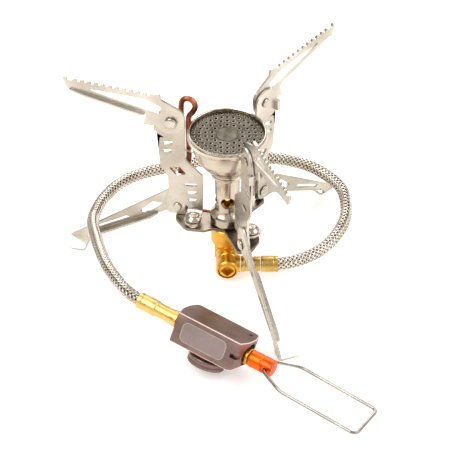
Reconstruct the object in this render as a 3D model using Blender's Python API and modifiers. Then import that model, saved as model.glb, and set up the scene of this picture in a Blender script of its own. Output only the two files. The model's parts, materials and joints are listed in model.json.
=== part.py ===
"""Canister stove: a burner on three folding supports, joined by a braided hose to its valve.

The origin is on the table, in the middle of the ground the stove covers, and +Z is up; the
burner's axis stands at STOVE_PLACE and every other place is measured from its foot. Lengths are in millimetres until
MM turns them into metres, where a mesh or a location is made. Each support is a bracket
that swivels on the base plate; it carries a toothed pot arm above and a leg below. A sheet
part of a support is drawn in the support's own frame: r outward from the burner's axis,
n to the left when looking outward, h up.
"""
import math

import bmesh
import bpy
from mathutils import Euler, Matrix, Vector

MM = 0.001
GAP = 0.3
WELD = 0.00001

# The burner's axis, seen from the middle of the ground the whole thing covers.
STOVE_PLACE = (4.82, 31.034, 0.0)

# Supports: name and direction of each one round the burner, in degrees.
SUPPORTS = (("left", 167.0), ("right", 48.3), ("front", -70.2))
SHEET = 1.2
SWIVEL_R, SWIVEL_N = 16.0, 7.0
ARM_PIVOT = (28.4, 86.0)
LEG_PIVOT = (25.9, 31.7)
TAB_BOTTOM = 29.3
TAB_BEND = 2.0
PIN_RADIUS = 1.7
PIN_HOLE = PIN_RADIUS + GAP
SWIVEL_PIN = 2.0
SWIVEL_HOLE = SWIVEL_PIN + GAP

# Pot arm.
TOOTH_COUNT = 11
TOOTH_FIRST, TOOTH_LAST = 41.6, 77.4
TOOTH_HEIGHT = 1.35
RAIL_R, RAIL_H, RAIL_SLOPE = 38.4, 101.0, 0.068
ARM_TIP_TOP = 105.5

# Stack on the burner's axis, from the table up.
BLOCK_TOP = 24.7
PLATE_BOTTOM, PLATE_TOP = 25.0, 26.6
TUBE_TOP = 60.0
CUP_NECK = 56.6
RIM_TOP, RIM_RADIUS = 84.0, 20.2
FLAME_PLATE_TOP, FLAME_PLATE_RADIUS = 82.0, 18.4
AIR_HOLE_RADIUS, AIR_HOLE_HEIGHT, AIR_HOLE_TURN = 3.5, 42.5, -87.0
PORT_RINGS = ((7.7, 14), (11.0, 22), (14.1, 30), (17.0, 38))
PORT_RADIUS = 0.62

# Gas line.
HOSE_RADIUS = 3.2
BRAID_THICKNESS = 0.7
LINER_RADIUS, LINER_WALL = 2.1, 0.9
STEM_Y, STEM_Z = -12.5, 8.4
STEM_RADIUS = 3.85
FERRULE_RADIUS = 4.15
FERRULE_START, FERRULE_END = 17.2, 26.0
BOSS_RADIUS, BOSS_END = 5.7, -18.5
PREHEAT_RADIUS = 1.45

# Valve: its frame has x along the body, y to the back and z up, from the collar's foot.
VALVE_PLACE = (-10.8, -84.0, 4.22)
VALVE_TURN, VALVE_PITCH, VALVE_ROLL = -32.0, 6.6, -26.5
BODY_BOTTOM, BODY_TOP = 6.6, 22.4
BODY_LEFT, BODY_RIGHT, BODY_HALF_DEPTH = -18.0, 17.8, 11.1
BODY_BULGE = 1.8
VALVE_AXIS = 14.2
COLLAR_RADIUS, THREAD_RADIUS = 9.6, 5.6
VALVE_FERRULE_START, VALVE_FERRULE_END = -20.9, -44.2
KNOB_START, KNOB_END, KNOB_RADIUS = 21.0, 34.2, 4.3
BAIL_PIVOT = 31.0
BAIL_TURN, BAIL_DROP = 23.5, 3.4
BAIL_WIRE, BAIL_HALF_WIDTH, BAIL_BEND, BAIL_LENGTH = 0.9, 10.7, 12.8, 56.5

# The hose's centre line between its two ferrules, from the burner round to the valve.
HOSE_WAYPOINTS = (
    (37.0, -9.4, 8.5), (46.6, -3.2, 8.8), (54.8, 6.8, 9.4), (61.4, 23.0, 10.4),
    (60.8, 42.0, 11.4), (52.8, 54.6, 12.2), (40.0, 64.0, 12.8), (22.0, 68.4, 13.4),
    (0.0, 68.2, 13.6), (-26.0, 61.8, 13.6), (-49.0, 52.8, 13.4), (-62.0, 38.6, 13.6),
    (-69.0, 17.0, 15.0), (-66.6, -7.0, 19.9), (-61.4, -27.6, 21.6), (-54.9, -42.4, 22.6),
    (-49.4, -51.0, 22.7),
)


def empty_scene():
    """Remove whatever objects the file holds."""
    for item in list(bpy.data.objects):
        bpy.data.objects.remove(item, do_unlink=True)


def new_collection(name):
    group = bpy.data.collections.new(name)
    bpy.context.scene.collection.children.link(group)
    return group


def new_material(name, colour, roughness, metallic):
    material = bpy.data.materials.new(name)
    material.use_nodes = True
    shader = material.node_tree.nodes["Principled BSDF"]
    shader.inputs["Base Color"].default_value = (*colour, 1.0)
    shader.inputs["Roughness"].default_value = roughness
    shader.inputs["Metallic"].default_value = metallic
    return material


def metres(point):
    return Vector(point) * MM


def new_frame(name, place, turn=(0.0, 0.0, 0.0), parent=None):
    """An empty that pieces hang from; a moving one sits on its joint's axis."""
    frame = bpy.data.objects.new(name, None)
    frame.empty_display_size = 5 * MM
    frame.location = metres(place)
    frame.rotation_euler = Euler([math.radians(angle) for angle in turn])
    frame.parent = parent
    parts.objects.link(frame)
    return frame


def new_part(name, mesh, material, parent=None, place=(0.0, 0.0, 0.0), turn=(0.0, 0.0, 0.0)):
    part = bpy.data.objects.new(name, mesh)
    part.location = metres(place)
    part.rotation_euler = Euler([math.radians(angle) for angle in turn])
    part.parent = parent
    if not mesh.materials:
        mesh.materials.append(material)
    parts.objects.link(part)
    return part


def evaluated_mesh(name, source):
    """The mesh of an object with its modifiers or its curve worked out, welded, facing out."""
    bpy.context.view_layer.update()
    seen = source.evaluated_get(bpy.context.evaluated_depsgraph_get())
    mesh = bpy.data.meshes.new_from_object(seen)
    mesh.name = name
    shape = bmesh.new()
    shape.from_mesh(mesh)
    bmesh.ops.remove_doubles(shape, verts=shape.verts, dist=WELD)
    bmesh.ops.recalc_face_normals(shape, faces=shape.faces)
    if shape.calc_volume(signed=True) < 0:
        bmesh.ops.reverse_faces(shape, faces=shape.faces)
    shape.to_mesh(mesh)
    shape.free()
    return mesh


def rounded(corners, steps=3):
    """A closed outline through corners (x, y, radius), each turned into an arc."""
    points = []
    for index, (x, y, radius) in enumerate(corners):
        corner = Vector((x, y))
        if radius == 0:
            points.append(corner)
            continue
        before = (Vector(corners[index - 1][:2]) - corner).normalized()
        after = (Vector(corners[(index + 1) % len(corners)][:2]) - corner).normalized()
        half = before.angle(after) / 2
        centre = corner + (before + after).normalized() * radius / math.sin(half)
        first = corner + before * radius / math.tan(half) - centre
        last = corner + after * radius / math.tan(half) - centre
        for step in range(steps + 1):
            ray = first.lerp(last, step / steps).normalized()
            points.append(centre + ray * radius)
    return points


def circle(x, y, radius, sides):
    angles = [2 * math.pi * side / sides for side in range(sides)]
    return [(x + radius * math.cos(angle), y + radius * math.sin(angle)) for angle in angles]


def stadium(start, end, width, steps=3):
    """The outline of a slot with round ends between two centres."""
    start, end = Vector(start), Vector(end)
    heading = math.atan2(end.y - start.y, end.x - start.x)
    points = []
    for centre, side in ((end, -0.5), (start, 0.5)):
        for step in range(steps + 1):
            angle = heading + math.pi * (side + step / steps)
            points.append(centre + Vector((math.cos(angle), math.sin(angle))) * width / 2)
    return points


def sheet_mesh(name, outline, holes, thickness):
    """A flat plate in the XY plane, centred on it, with its holes."""
    curve = bpy.data.curves.new(name, "CURVE")
    curve.dimensions = "2D"
    curve.fill_mode = "BOTH"
    curve.extrude = thickness / 2 * MM
    for loop in [outline, *holes]:
        spline = curve.splines.new("POLY")
        spline.points.add(len(loop) - 1)
        spline.use_cyclic_u = True
        for point, (x, y) in zip(spline.points, loop):
            point.co = (x * MM, y * MM, 0.0, 1.0)
    return mesh_of_curve(name, curve)


def mesh_of_curve(name, curve):
    source = bpy.data.objects.new(name, curve)
    parts.objects.link(source)
    mesh = evaluated_mesh(name, source)
    bpy.data.objects.remove(source, do_unlink=True)
    bpy.data.curves.remove(curve)
    return mesh


def upright(mesh, n_offset):
    """Stand a sheet drawn as (r, h) up in the support's frame, at a distance along n."""
    mesh.transform(Matrix.Translation((0, n_offset * MM, 0)) @ Matrix.Rotation(math.pi / 2, 4, "X"))
    return mesh


def box_mesh(name, low, high, turn=None):
    """A box between two corners, turned by a matrix about the origin."""
    shape = bmesh.new()
    bmesh.ops.create_cube(shape, size=1.0)
    low, high = Vector(low), Vector(high)
    bmesh.ops.scale(shape, vec=(high - low) * MM, verts=shape.verts)
    bmesh.ops.translate(shape, vec=(high + low) / 2 * MM, verts=shape.verts)
    mesh = bpy.data.meshes.new(name)
    shape.to_mesh(mesh)
    shape.free()
    if turn is not None:
        mesh.transform(turn)
    return mesh


def rod_mesh(name, radius, low, high, sides=16):
    """A cylinder along Z between two heights."""
    shape = bmesh.new()
    bmesh.ops.create_cone(
        shape, cap_ends=True, segments=sides, radius1=radius * MM, radius2=radius * MM,
        depth=(high - low) * MM,
    )
    bmesh.ops.translate(shape, vec=(0, 0, (low + high) / 2 * MM), verts=shape.verts)
    mesh = bpy.data.meshes.new(name)
    shape.to_mesh(mesh)
    shape.free()
    return mesh


def cutter(name, mesh, place=(0.0, 0.0, 0.0), turn=(0.0, 0.0, 0.0), parent=None):
    """An object that only shapes another one."""
    tool = bpy.data.objects.new(name, mesh)
    tool.location = metres(place)
    tool.rotation_euler = Euler([math.radians(angle) for angle in turn])
    tool.parent = parent
    tool.hide_render = True
    tool.display_type = "WIRE"
    cutters.objects.link(tool)
    return tool


def add_boolean(part, tool, operation="DIFFERENCE"):
    modifier = part.modifiers.new(tool.name, "BOOLEAN")
    modifier.operation = operation
    modifier.solver = "EXACT"
    modifier.object = tool


def joined_mesh(name, base, extras):
    """One mesh from a base mesh and others joined to it, for copies that share it."""
    whole = bpy.data.objects.new(name, base)
    parts.objects.link(whole)
    tools = []
    for index, extra in enumerate(extras):
        tool = cutter(f"{name}_joint_{index}", extra)
        add_boolean(whole, tool, "UNION")
        tools.append(tool)
    mesh = evaluated_mesh(name, whole)
    for item in [whole, *tools]:
        bpy.data.objects.remove(item, do_unlink=True)
    return mesh


def turned_mesh(name, profile, hollow=False):
    """The half outline (radius, height) of a turned piece, for a Screw modifier."""
    points = [(radius * MM, 0.0, height * MM) for radius, height in profile]
    edges = [(index, index + 1) for index in range(len(points) - 1)]
    if hollow:
        edges.append((len(points) - 1, 0))
    mesh = bpy.data.meshes.new(name)
    mesh.from_pydata(points, edges, [])
    return mesh


def add_screw(part, sides):
    modifier = part.modifiers.new("turn", "SCREW")
    modifier.axis = "Z"
    modifier.steps = sides
    modifier.render_steps = sides
    modifier.use_merge_vertices = True
    modifier.merge_threshold = WELD
    modifier.use_smooth_shade = True


def turned_part(name, profile, material, sides=24, hollow=False, **placing):
    part = new_part(name, turned_mesh(name, profile, hollow), material, **placing)
    add_screw(part, sides)
    return part


def shade_round(mesh):
    mesh.shade_smooth()
    mesh.set_sharp_from_angle(angle=math.radians(35))


def wire_mesh(name, points, radius, resolution=2):
    """A closed round wire through the points, which are in millimetres."""
    curve = bpy.data.curves.new(name, "CURVE")
    curve.dimensions = "3D"
    curve.bevel_depth = radius * MM
    curve.bevel_resolution = resolution
    curve.use_fill_caps = True
    spline = curve.splines.new("POLY")
    spline.points.add(len(points) - 1)
    for point, place in zip(spline.points, points):
        point.co = (*metres(place), 1.0)
    mesh = mesh_of_curve(name, curve)
    shade_round(mesh)
    return mesh


def smooth_path(waypoints, steps):
    """A Catmull-Rom line through the waypoints, without the first and the last one."""
    points = [Vector(point) for point in waypoints]
    path = []
    for a, b, c, d in zip(points, points[1:], points[2:], points[3:]):
        for step in range(steps):
            t = step / steps
            path.append(
                0.5 * (2 * b + (c - a) * t + (2 * a - 5 * b + 4 * c - d) * t**2
                       + (3 * b - a - 3 * c + d) * t**3)
            )
    path.append(points[-2])
    return path


def tube_mesh(name, path, radius, wall, resolution):
    """An open-ended tube along a path, its wall inside the radius."""
    curve = bpy.data.curves.new(name, "CURVE")
    curve.dimensions = "3D"
    curve.bevel_depth = radius * MM
    curve.bevel_resolution = resolution
    spline = curve.splines.new("POLY")
    spline.points.add(len(path) - 1)
    for point, place in zip(spline.points, path):
        point.co = (*metres(place), 1.0)
    skin = bpy.data.objects.new(name, mesh_of_curve(f"{name}_skin", curve))
    parts.objects.link(skin)
    modifier = skin.modifiers.new("wall", "SOLIDIFY")
    modifier.thickness = wall * MM
    modifier.offset = -1.0
    mesh = evaluated_mesh(name, skin)
    bpy.data.objects.remove(skin, do_unlink=True)
    shade_round(mesh)
    return mesh


def support_point(direction, r, n, h):
    """A point of a support's frame in the stove's frame."""
    angle = math.radians(direction)
    return Vector((
        r * math.cos(angle) - n * math.sin(angle),
        r * math.sin(angle) + n * math.cos(angle),
        h,
    ))


def swept_mesh(name, section, r_low, r_high):
    """A section drawn as (n, h), drawn out along r in the support's frame."""
    mesh = sheet_mesh(name, section, [], r_high - r_low)
    middle = Matrix.Translation(((r_low + r_high) / 2 * MM, 0, 0))
    mesh.transform(middle @ Matrix(((0, 0, 1, 0), (1, 0, 0, 0), (0, 1, 0, 0), (0, 0, 0, 1))))
    return mesh


def bend_section(centre_n, centre_h, steps=4, overlap=1.5, inset=0.02):
    """The quarter bend of the tab, a hair thinner than the sheets it runs into."""
    angles = [math.pi * (1 + step / steps / 2) for step in range(steps + 1)]
    inner, outer = TAB_BEND + inset, TAB_BEND + SHEET - inset
    outside = [(centre_n + outer * math.cos(a), centre_h + outer * math.sin(a)) for a in angles]
    inside = [(centre_n + inner * math.cos(a), centre_h + inner * math.sin(a)) for a in reversed(angles)]
    return [
        (centre_n - outer, centre_h + overlap), *outside, (centre_n + overlap, centre_h - outer),
        (centre_n + overlap, centre_h - inner), *inside, (centre_n - inner, centre_h + overlap),
    ]


def bracket_mesh():
    """The upright plate, its slots, and the tab bent out for the swivel rivet."""
    bend_height = TAB_BOTTOM + SHEET + TAB_BEND
    outline = rounded([
        (21.6, 93.2, 6.8), (35.4, 93.2, 6.8), (36.6, 84.0, 1.0), (36.1, 77.1, 1.0),
        (34.5, 57.0, 1.5), (30.5, 50.0, 1.0), (30.5, 41.4, 1.0), (32.1, 36.0, 2.0),
        (31.6, 26.9, 2.5), (21.9, 26.9, 1.0), (21.9, 33.2, 0.7), (20.6, 33.2, 0.6),
        (20.6, bend_height, 0), (12.6, bend_height, 0), (12.6, 53.6, 1.5), (21.6, 62.3, 2.0),
    ], steps=2)
    outline_hole = rounded([
        (30.3, 56.5, 0.6), (24.4, 57.5, 0.6), (20.8, 53.1, 0.6), (26.5, 52.2, 0.6),
    ], steps=1)
    holes = [
        circle(*ARM_PIVOT, PIN_HOLE, 12),
        circle(*LEG_PIVOT, PIN_HOLE, 12),
        outline_hole,
        stadium((28.6, 72.2), (32.2, 71.6), 1.9, 2),
        stadium((29.2, 67.1), (32.4, 66.6), 1.7, 2),
        stadium((16.3, 47.2), (21.6, 46.5), 1.6, 2),
        stadium((16.3, 42.3), (20.2, 41.8), 1.6, 2),
        stadium((16.3, 37.5), (19.4, 37.2), 1.6, 2),
    ]
    upright_plate = upright(sheet_mesh("bracket", outline, holes, SHEET), 0.0)
    tab_start = SHEET / 2 + TAB_BEND
    tab_outline = rounded([
        (13.0, tab_start, 0), (20.2, tab_start, 0), (21.2, SWIVEL_N + 5.2, 5.0),
        (10.8, SWIVEL_N + 5.2, 5.0),
    ])
    tab_hole = [circle(SWIVEL_R, SWIVEL_N, SWIVEL_HOLE, 12)]
    tab = sheet_mesh("tab", tab_outline, tab_hole, SHEET)
    tab.transform(Matrix.Translation((0, 0, (TAB_BOTTOM + SHEET / 2) * MM)))
    bend = swept_mesh("bend", bend_section(tab_start, bend_height), 12.8, 20.4)
    lug = box_mesh("lug", (35.6, -2.4, 77.9), (37.9, 0.2, 83.6))
    mesh = joined_mesh("bracket", upright_plate, [bend, tab, lug])
    mesh.transform(Matrix.Translation(metres((-SWIVEL_R, -SWIVEL_N, 0))))
    return mesh


def rail_height(r):
    return RAIL_H + RAIL_SLOPE * (r - RAIL_R)


def arm_mesh():
    """The toothed arm with its long slot, its stop beak and the flange under its rail."""
    pitch = (TOOTH_LAST - TOOTH_FIRST) / (TOOTH_COUNT - 1)
    teeth = []
    for index in range(TOOTH_COUNT):
        middle = TOOTH_FIRST + pitch * index
        for offset, rise in ((-1.1, 0.0), (-0.5, 1.0), (0.5, 1.0), (1.0, 0.0)):
            r = middle + offset
            teeth.append((r, rail_height(r) + TOOTH_HEIGHT * rise, 0))
    outline = rounded([
        (34.0, 102.4, 0.5), (38.3, 102.5, 0.3), (RAIL_R + 0.4, rail_height(RAIL_R), 0),
        *teeth,
        (81.4, rail_height(81.4), 0), (82.0, ARM_TIP_TOP, 0.3), (83.9, ARM_TIP_TOP, 0.4),
        (81.2, 98.5, 1.5), (41.0, 88.9, 1.0), (42.7, 82.7, 0), (36.2, 82.9, 0.5),
        (35.4, 79.0, 5.5), (21.4, 79.0, 6.6), (21.4, 93.0, 5.5), (27.7, 96.2, 2.0),
        (33.2, 99.0, 0.5),
    ], steps=2)
    slot = rounded([
        (72.8, 100.2, 0), (41.7, 98.8, 2.0), (33.0, 94.6, 0.8), (34.2, 90.4, 0.8), (36.6, 91.2, 0.6),
    ], steps=2)
    holes = [slot, circle(*ARM_PIVOT, PIN_HOLE, 12)]
    offset = SHEET + GAP
    plate = upright(sheet_mesh("pot_arm", outline, holes, SHEET), offset)
    slope = math.atan2(98.5 - 88.9, 81.2 - 41.0)
    lean = Matrix.Translation(metres((41.0, 0, 88.9))) @ Matrix.Rotation(-slope, 4, "Y")
    flange = box_mesh("flange", (1.8, offset, -0.2), (37.5, offset + 3.2, 0.9), lean)
    mesh = joined_mesh("pot_arm", plate, [flange])
    mesh.transform(Matrix.Translation(metres((-ARM_PIVOT[0], 0, -ARM_PIVOT[1]))))
    return mesh


def leg_mesh():
    """The tapered leg with its two truss slots, its flange and its bent foot."""
    outline = rounded([
        (27.0, 43.6, 2.5), (21.4, 39.2, 4.0), (21.3, 27.0, 4.2), (32.3, 26.8, 1.0),
        (74.2, 2.8, 1.0), (75.0, 0.3, 0), (82.6, 0.3, 0), (84.0, 1.0, 0.4), (67.1, 13.3, 0),
    ], steps=2)
    first_slot = rounded([
        (47.0, 23.3, 0.6), (39.4, 31.3, 0.6), (32.8, 31.6, 0.6), (41.0, 23.9, 0.6),
    ], steps=1)
    second_slot = rounded([
        (50.0, 18.9, 0.4), (53.6, 19.4, 0.4), (69.5, 9.9, 0.4), (67.5, 8.7, 0.4),
    ], steps=1)
    holes = [first_slot, second_slot, circle(*LEG_PIVOT, PIN_HOLE, 12)]
    offset = -(SHEET + GAP)
    plate = upright(sheet_mesh("leg", outline, holes, SHEET), offset)
    slope = math.atan2(2.8 - 26.5, 74.2 - 32.3)
    lean = Matrix.Translation(metres((32.3, 0, 26.5))) @ Matrix.Rotation(-slope, 4, "Y")
    flange = box_mesh("flange", (7.5, offset, -0.2), (43.5, 2.3, 0.9), lean)
    foot_outline = rounded([
        (73.2, offset, 0), (81.8, offset, 0), (81.4, 9.2, 1.6), (73.6, 9.2, 1.6),
    ])
    foot = sheet_mesh("foot", foot_outline, [], SHEET)
    foot.transform(Matrix.Translation((0, 0, SHEET / 2 * MM)))
    mesh = joined_mesh("leg", plate, [flange, foot])
    mesh.transform(Matrix.Translation(metres((-LEG_PIVOT[0], 0, -LEG_PIVOT[1]))))
    return mesh


def rivet_profile(head_radius, head_height, pin, grip, tail_radius, tail_height, edge, side):
    """A rivet along Z: its head stands on z = 0 and its tail hangs below the grip.

    The head's top reaches out to the share "edge" of its radius, its side up to the share
    "side" of its height.
    """
    return [
        (0.0, head_height), (head_radius * edge, head_height * 0.95),
        (head_radius, head_height * side), (head_radius, 0.0), (pin, 0.0), (pin, -grip),
        (tail_radius, -grip), (tail_radius * 0.8, -grip - tail_height),
        (0.0, -grip - tail_height),
    ]


def make_supports():
    """Three supports, alike but for their direction."""
    bracket, arm, leg = bracket_mesh(), arm_mesh(), leg_mesh()
    grip = 2 * SHEET + 3 * GAP
    arm_rivet = turned_mesh("arm_rivet", rivet_profile(3.2, 1.6, PIN_RADIUS, grip, 2.6, 0.6, 0.8, 0.7))
    leg_rivet = turned_mesh("leg_rivet", rivet_profile(3.0, 1.0, PIN_RADIUS, grip, 2.4, 0.6, 0.7, 0.4))
    stack = TAB_BOTTOM + SHEET + GAP
    swivel_grip = stack - PLATE_BOTTOM + GAP
    swivel_rivet = turned_mesh(
        "swivel_rivet", rivet_profile(4.2, 2.6, SWIVEL_PIN, swivel_grip, 2.8, 1.0, 0.6, 0.3))
    washer_low, washer_high = PLATE_TOP + GAP, TAB_BOTTOM - GAP
    washer = turned_mesh("swivel_washer", [
        (3.4, washer_high), (3.4, washer_low), (SWIVEL_HOLE, washer_low), (SWIVEL_HOLE, washer_high),
    ], hollow=True)
    for side, direction in SUPPORTS:
        pivot = support_point(direction, SWIVEL_R, SWIVEL_N, 0.0)
        swivel = new_frame(f"swivel_axis_{side}", pivot, (0, 0, direction))
        arm_hinge = new_frame(
            f"arm_axis_{side}", (ARM_PIVOT[0] - SWIVEL_R, -SWIVEL_N, ARM_PIVOT[1]), parent=swivel)
        leg_hinge = new_frame(
            f"leg_axis_{side}", (LEG_PIVOT[0] - SWIVEL_R, -SWIVEL_N, LEG_PIVOT[1]), parent=swivel)
        new_part(f"bracket_{side}", bracket, steel, swivel)
        new_part(f"pot_arm_{side}", arm, steel, arm_hinge)
        new_part(f"leg_{side}", leg, steel, leg_hinge)
        arm_pin = new_part(
            f"arm_rivet_{side}", arm_rivet, bright_steel, arm_hinge,
            (0, 1.5 * SHEET + 2 * GAP, 0), (-90, 0, 0))
        leg_pin = new_part(
            f"leg_rivet_{side}", leg_rivet, bright_steel, leg_hinge,
            (0, -1.5 * SHEET - 2 * GAP, 0), (90, 0, 0))
        swivel_pin = new_part(f"swivel_rivet_{side}", swivel_rivet, bright_steel, swivel, (0, 0, stack))
        ring = new_part(f"swivel_washer_{side}", washer, bright_steel, swivel)
        for part, sides in ((arm_pin, 12), (leg_pin, 12), (swivel_pin, 14), (ring, 14)):
            add_screw(part, sides)


def make_base_plate():
    """A plate with a lobe under each support, drawn in that support's own r and n."""
    lobe = ((3.2, -8.6, 3.0), (7.0, -4.0, 1.5), (25.5, -3.6, 2.5), (27.0, 3.0, 5.0),
            (19.5, 10.9, 5.0), (10.0, 10.2, 2.0))
    corners, holes = [], [circle(0, 0, 5.2, 24)]
    for _, direction in sorted(SUPPORTS, key=lambda support: support[1]):
        for r, n, radius in lobe:
            corners.append((*support_point(direction, r, n, 0.0).xy, radius))
        holes.append(circle(*support_point(direction, SWIVEL_R, SWIVEL_N, 0.0).xy, SWIVEL_HOLE, 12))
    mesh = sheet_mesh("base_plate", rounded(corners), holes, PLATE_TOP - PLATE_BOTTOM)
    new_part("base_plate", mesh, steel, place=(0, 0, (PLATE_TOP + PLATE_BOTTOM) / 2))


def make_burner():
    """Mixing tube, cup, flame plate and the jet inside the tube."""
    tube = turned_part("mixing_tube", [
        (6.3, TUBE_TOP), (6.3, 35.0), (8.65, 33.0), (8.65, 28.4), (7.8, PLATE_TOP + GAP),
        (6.6, PLATE_TOP + GAP), (5.5, 31.0), (5.5, TUBE_TOP),
    ], bright_steel, 24, hollow=True)
    for index in range(2):
        hole = rod_mesh("air_hole", AIR_HOLE_RADIUS, -12, 12, 14)
        turn = AIR_HOLE_TURN + 90 * index
        add_boolean(tube, cutter(f"air_hole_{index}", hole, (0, 0, AIR_HOLE_HEIGHT), (0, 90, turn)))
    turned_part("burner_cup", [
        (19.0, RIM_TOP), (20.0, RIM_TOP - 0.6), (RIM_RADIUS, RIM_TOP - 3.2),
        (18.6, RIM_TOP - 4.4), (18.1, 76.5), (16.2, 70.6), (12.6, 64.6), (9.2, 61.2), (8.5, 59.6),
        (7.7, 59.1), (8.2, 58.4), (8.2, 57.2), (7.4, CUP_NECK), (6.6, CUP_NECK), (6.6, 61.4),
        (8.6, 62.6), (11.8, 65.8), (15.3, 71.6), (17.1, 77.0), (17.1, 80.4), (18.7, 80.4),
        (18.7, RIM_TOP - 0.4),
    ], bright_steel, 28, hollow=True)
    ports = []
    for radius, count in PORT_RINGS:
        for angle in (2 * math.pi * index / count for index in range(count)):
            ports.append(circle(radius * math.cos(angle), radius * math.sin(angle), PORT_RADIUS, 4))
    flame_plate = sheet_mesh("flame_plate", circle(0, 0, FLAME_PLATE_RADIUS, 28), ports, SHEET)
    new_part("flame_plate", flame_plate, scorched_steel, place=(0, 0, FLAME_PLATE_TOP - SHEET / 2))
    turned_part("jet", [
        (0.0, 40.5), (1.3, 40.5), (1.7, 37.0), (3.1, 36.4), (3.1, 30.8), (0.0, 30.8),
    ], brass, 12)


def make_jet_block():
    """The brass block under the base plate, its plug, and the stem the hose comes from."""
    block = turned_part("jet_block", [
        (0.0, 30.5), (4.7, 30.5), (4.7, BLOCK_TOP), (8.2, BLOCK_TOP), (8.2, 13.8), (6.0, 9.0),
        (5.2, 3.4), (0.0, 3.4),
    ], brass, 24)
    boss = cutter("block_boss", turned_mesh("block_boss", [
        (0.0, -BOSS_END), (4.9, -BOSS_END), (BOSS_RADIUS, -BOSS_END - 0.8), (BOSS_RADIUS, 0.0), (0.0, 0.0),
    ]), (0, 0, STEM_Z), (90, 0, 0))
    add_screw(boss, 24)
    port = cutter("block_port", rod_mesh("block_port", 4.3, 0.0, 6.6, 18), (0, STEM_Y, STEM_Z), (0, 90, 0))
    bore = cutter(
        "plug_bore", rod_mesh("plug_bore", 4.6, -BOSS_END - 5.0, -BOSS_END + 2.0, 18),
        (0, 0, STEM_Z), (90, 0, 0))
    add_boolean(block, boss, "UNION")
    add_boolean(block, port, "UNION")
    add_boolean(block, bore)
    plug = turned_part("block_plug", [
        (0.0, -BOSS_END - 0.2), (4.0, -BOSS_END - 0.2), (4.3, -BOSS_END - 0.5),
        (4.3, -BOSS_END - 4.7), (0.0, -BOSS_END - 4.7),
    ], brass, 18, place=(0, 0, STEM_Z), turn=(90, 0, 0))
    socket = box_mesh("plug_socket", (-2.5, -2.5, -BOSS_END - 3.6), (2.5, 2.5, -BOSS_END + 2.0))
    add_boolean(plug, cutter("plug_socket", socket, (0, 0, STEM_Z), (90, 45, 0)))
    turned_part("hose_stem", [
        (0.0, FERRULE_START - GAP), (STEM_RADIUS, FERRULE_START - GAP), (STEM_RADIUS, 8.6),
        (4.2, 8.4), (4.2, 6.9), (0.0, 6.9),
    ], brass, 18, place=(0, STEM_Y, STEM_Z), turn=(0, 90, 0))


def ferrule_profile(floor, end, shoulder):
    """A ferrule along Z from the floor of its bore to its open, crimped end and back down."""
    bore, waist = HOSE_RADIUS + GAP, FERRULE_RADIUS - 0.35
    return [
        (0.0, floor), (bore, floor), (bore, end), (FERRULE_RADIUS, end), (FERRULE_RADIUS, end - 2.4),
        (waist, end - 2.9), (waist, end - 3.7), (FERRULE_RADIUS, end - 4.2), (FERRULE_RADIUS, shoulder),
    ]


def make_hose(valve):
    """The braided sleeve, the liner in it and the crimped ferrule at either end."""
    turned_part("burner_ferrule", [
        *ferrule_profile(FERRULE_START + 1.2, FERRULE_END, FERRULE_START), (0.0, FERRULE_START),
    ], brass, 18, place=(0, STEM_Y, STEM_Z), turn=(0, 90, 0))
    reach, neck = -VALVE_FERRULE_END, -VALVE_FERRULE_START
    turned_part("valve_ferrule", [
        *ferrule_profile(reach - 8.0, reach, neck + 3.0), (3.0, neck + 2.4), (3.0, neck), (0.0, neck),
    ], brass, 18, parent=valve, place=(0, 0, VALVE_AXIS), turn=(0, -90, 0))
    to_stove = Matrix.Translation(metres(VALVE_PLACE)) @ valve_rotation().to_4x4()
    straight = [(VALVE_FERRULE_END + inset, 0.0, VALVE_AXIS) for inset in (0.0, 7.5, 15.0)]
    arrival = [to_stove @ metres(point) / MM for point in straight]
    departure = [(x, STEM_Y, STEM_Z) for x in (10.0, FERRULE_START + 1.6, FERRULE_END + 1.5)]
    path = smooth_path([*departure, *HOSE_WAYPOINTS, *arrival], 2)
    new_part("braided_hose", tube_mesh("braided_hose", path, HOSE_RADIUS, BRAID_THICKNESS, 3), braid)
    new_part("hose_liner", tube_mesh("hose_liner", path, LINER_RADIUS, LINER_WALL, 1), rubber)


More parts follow.
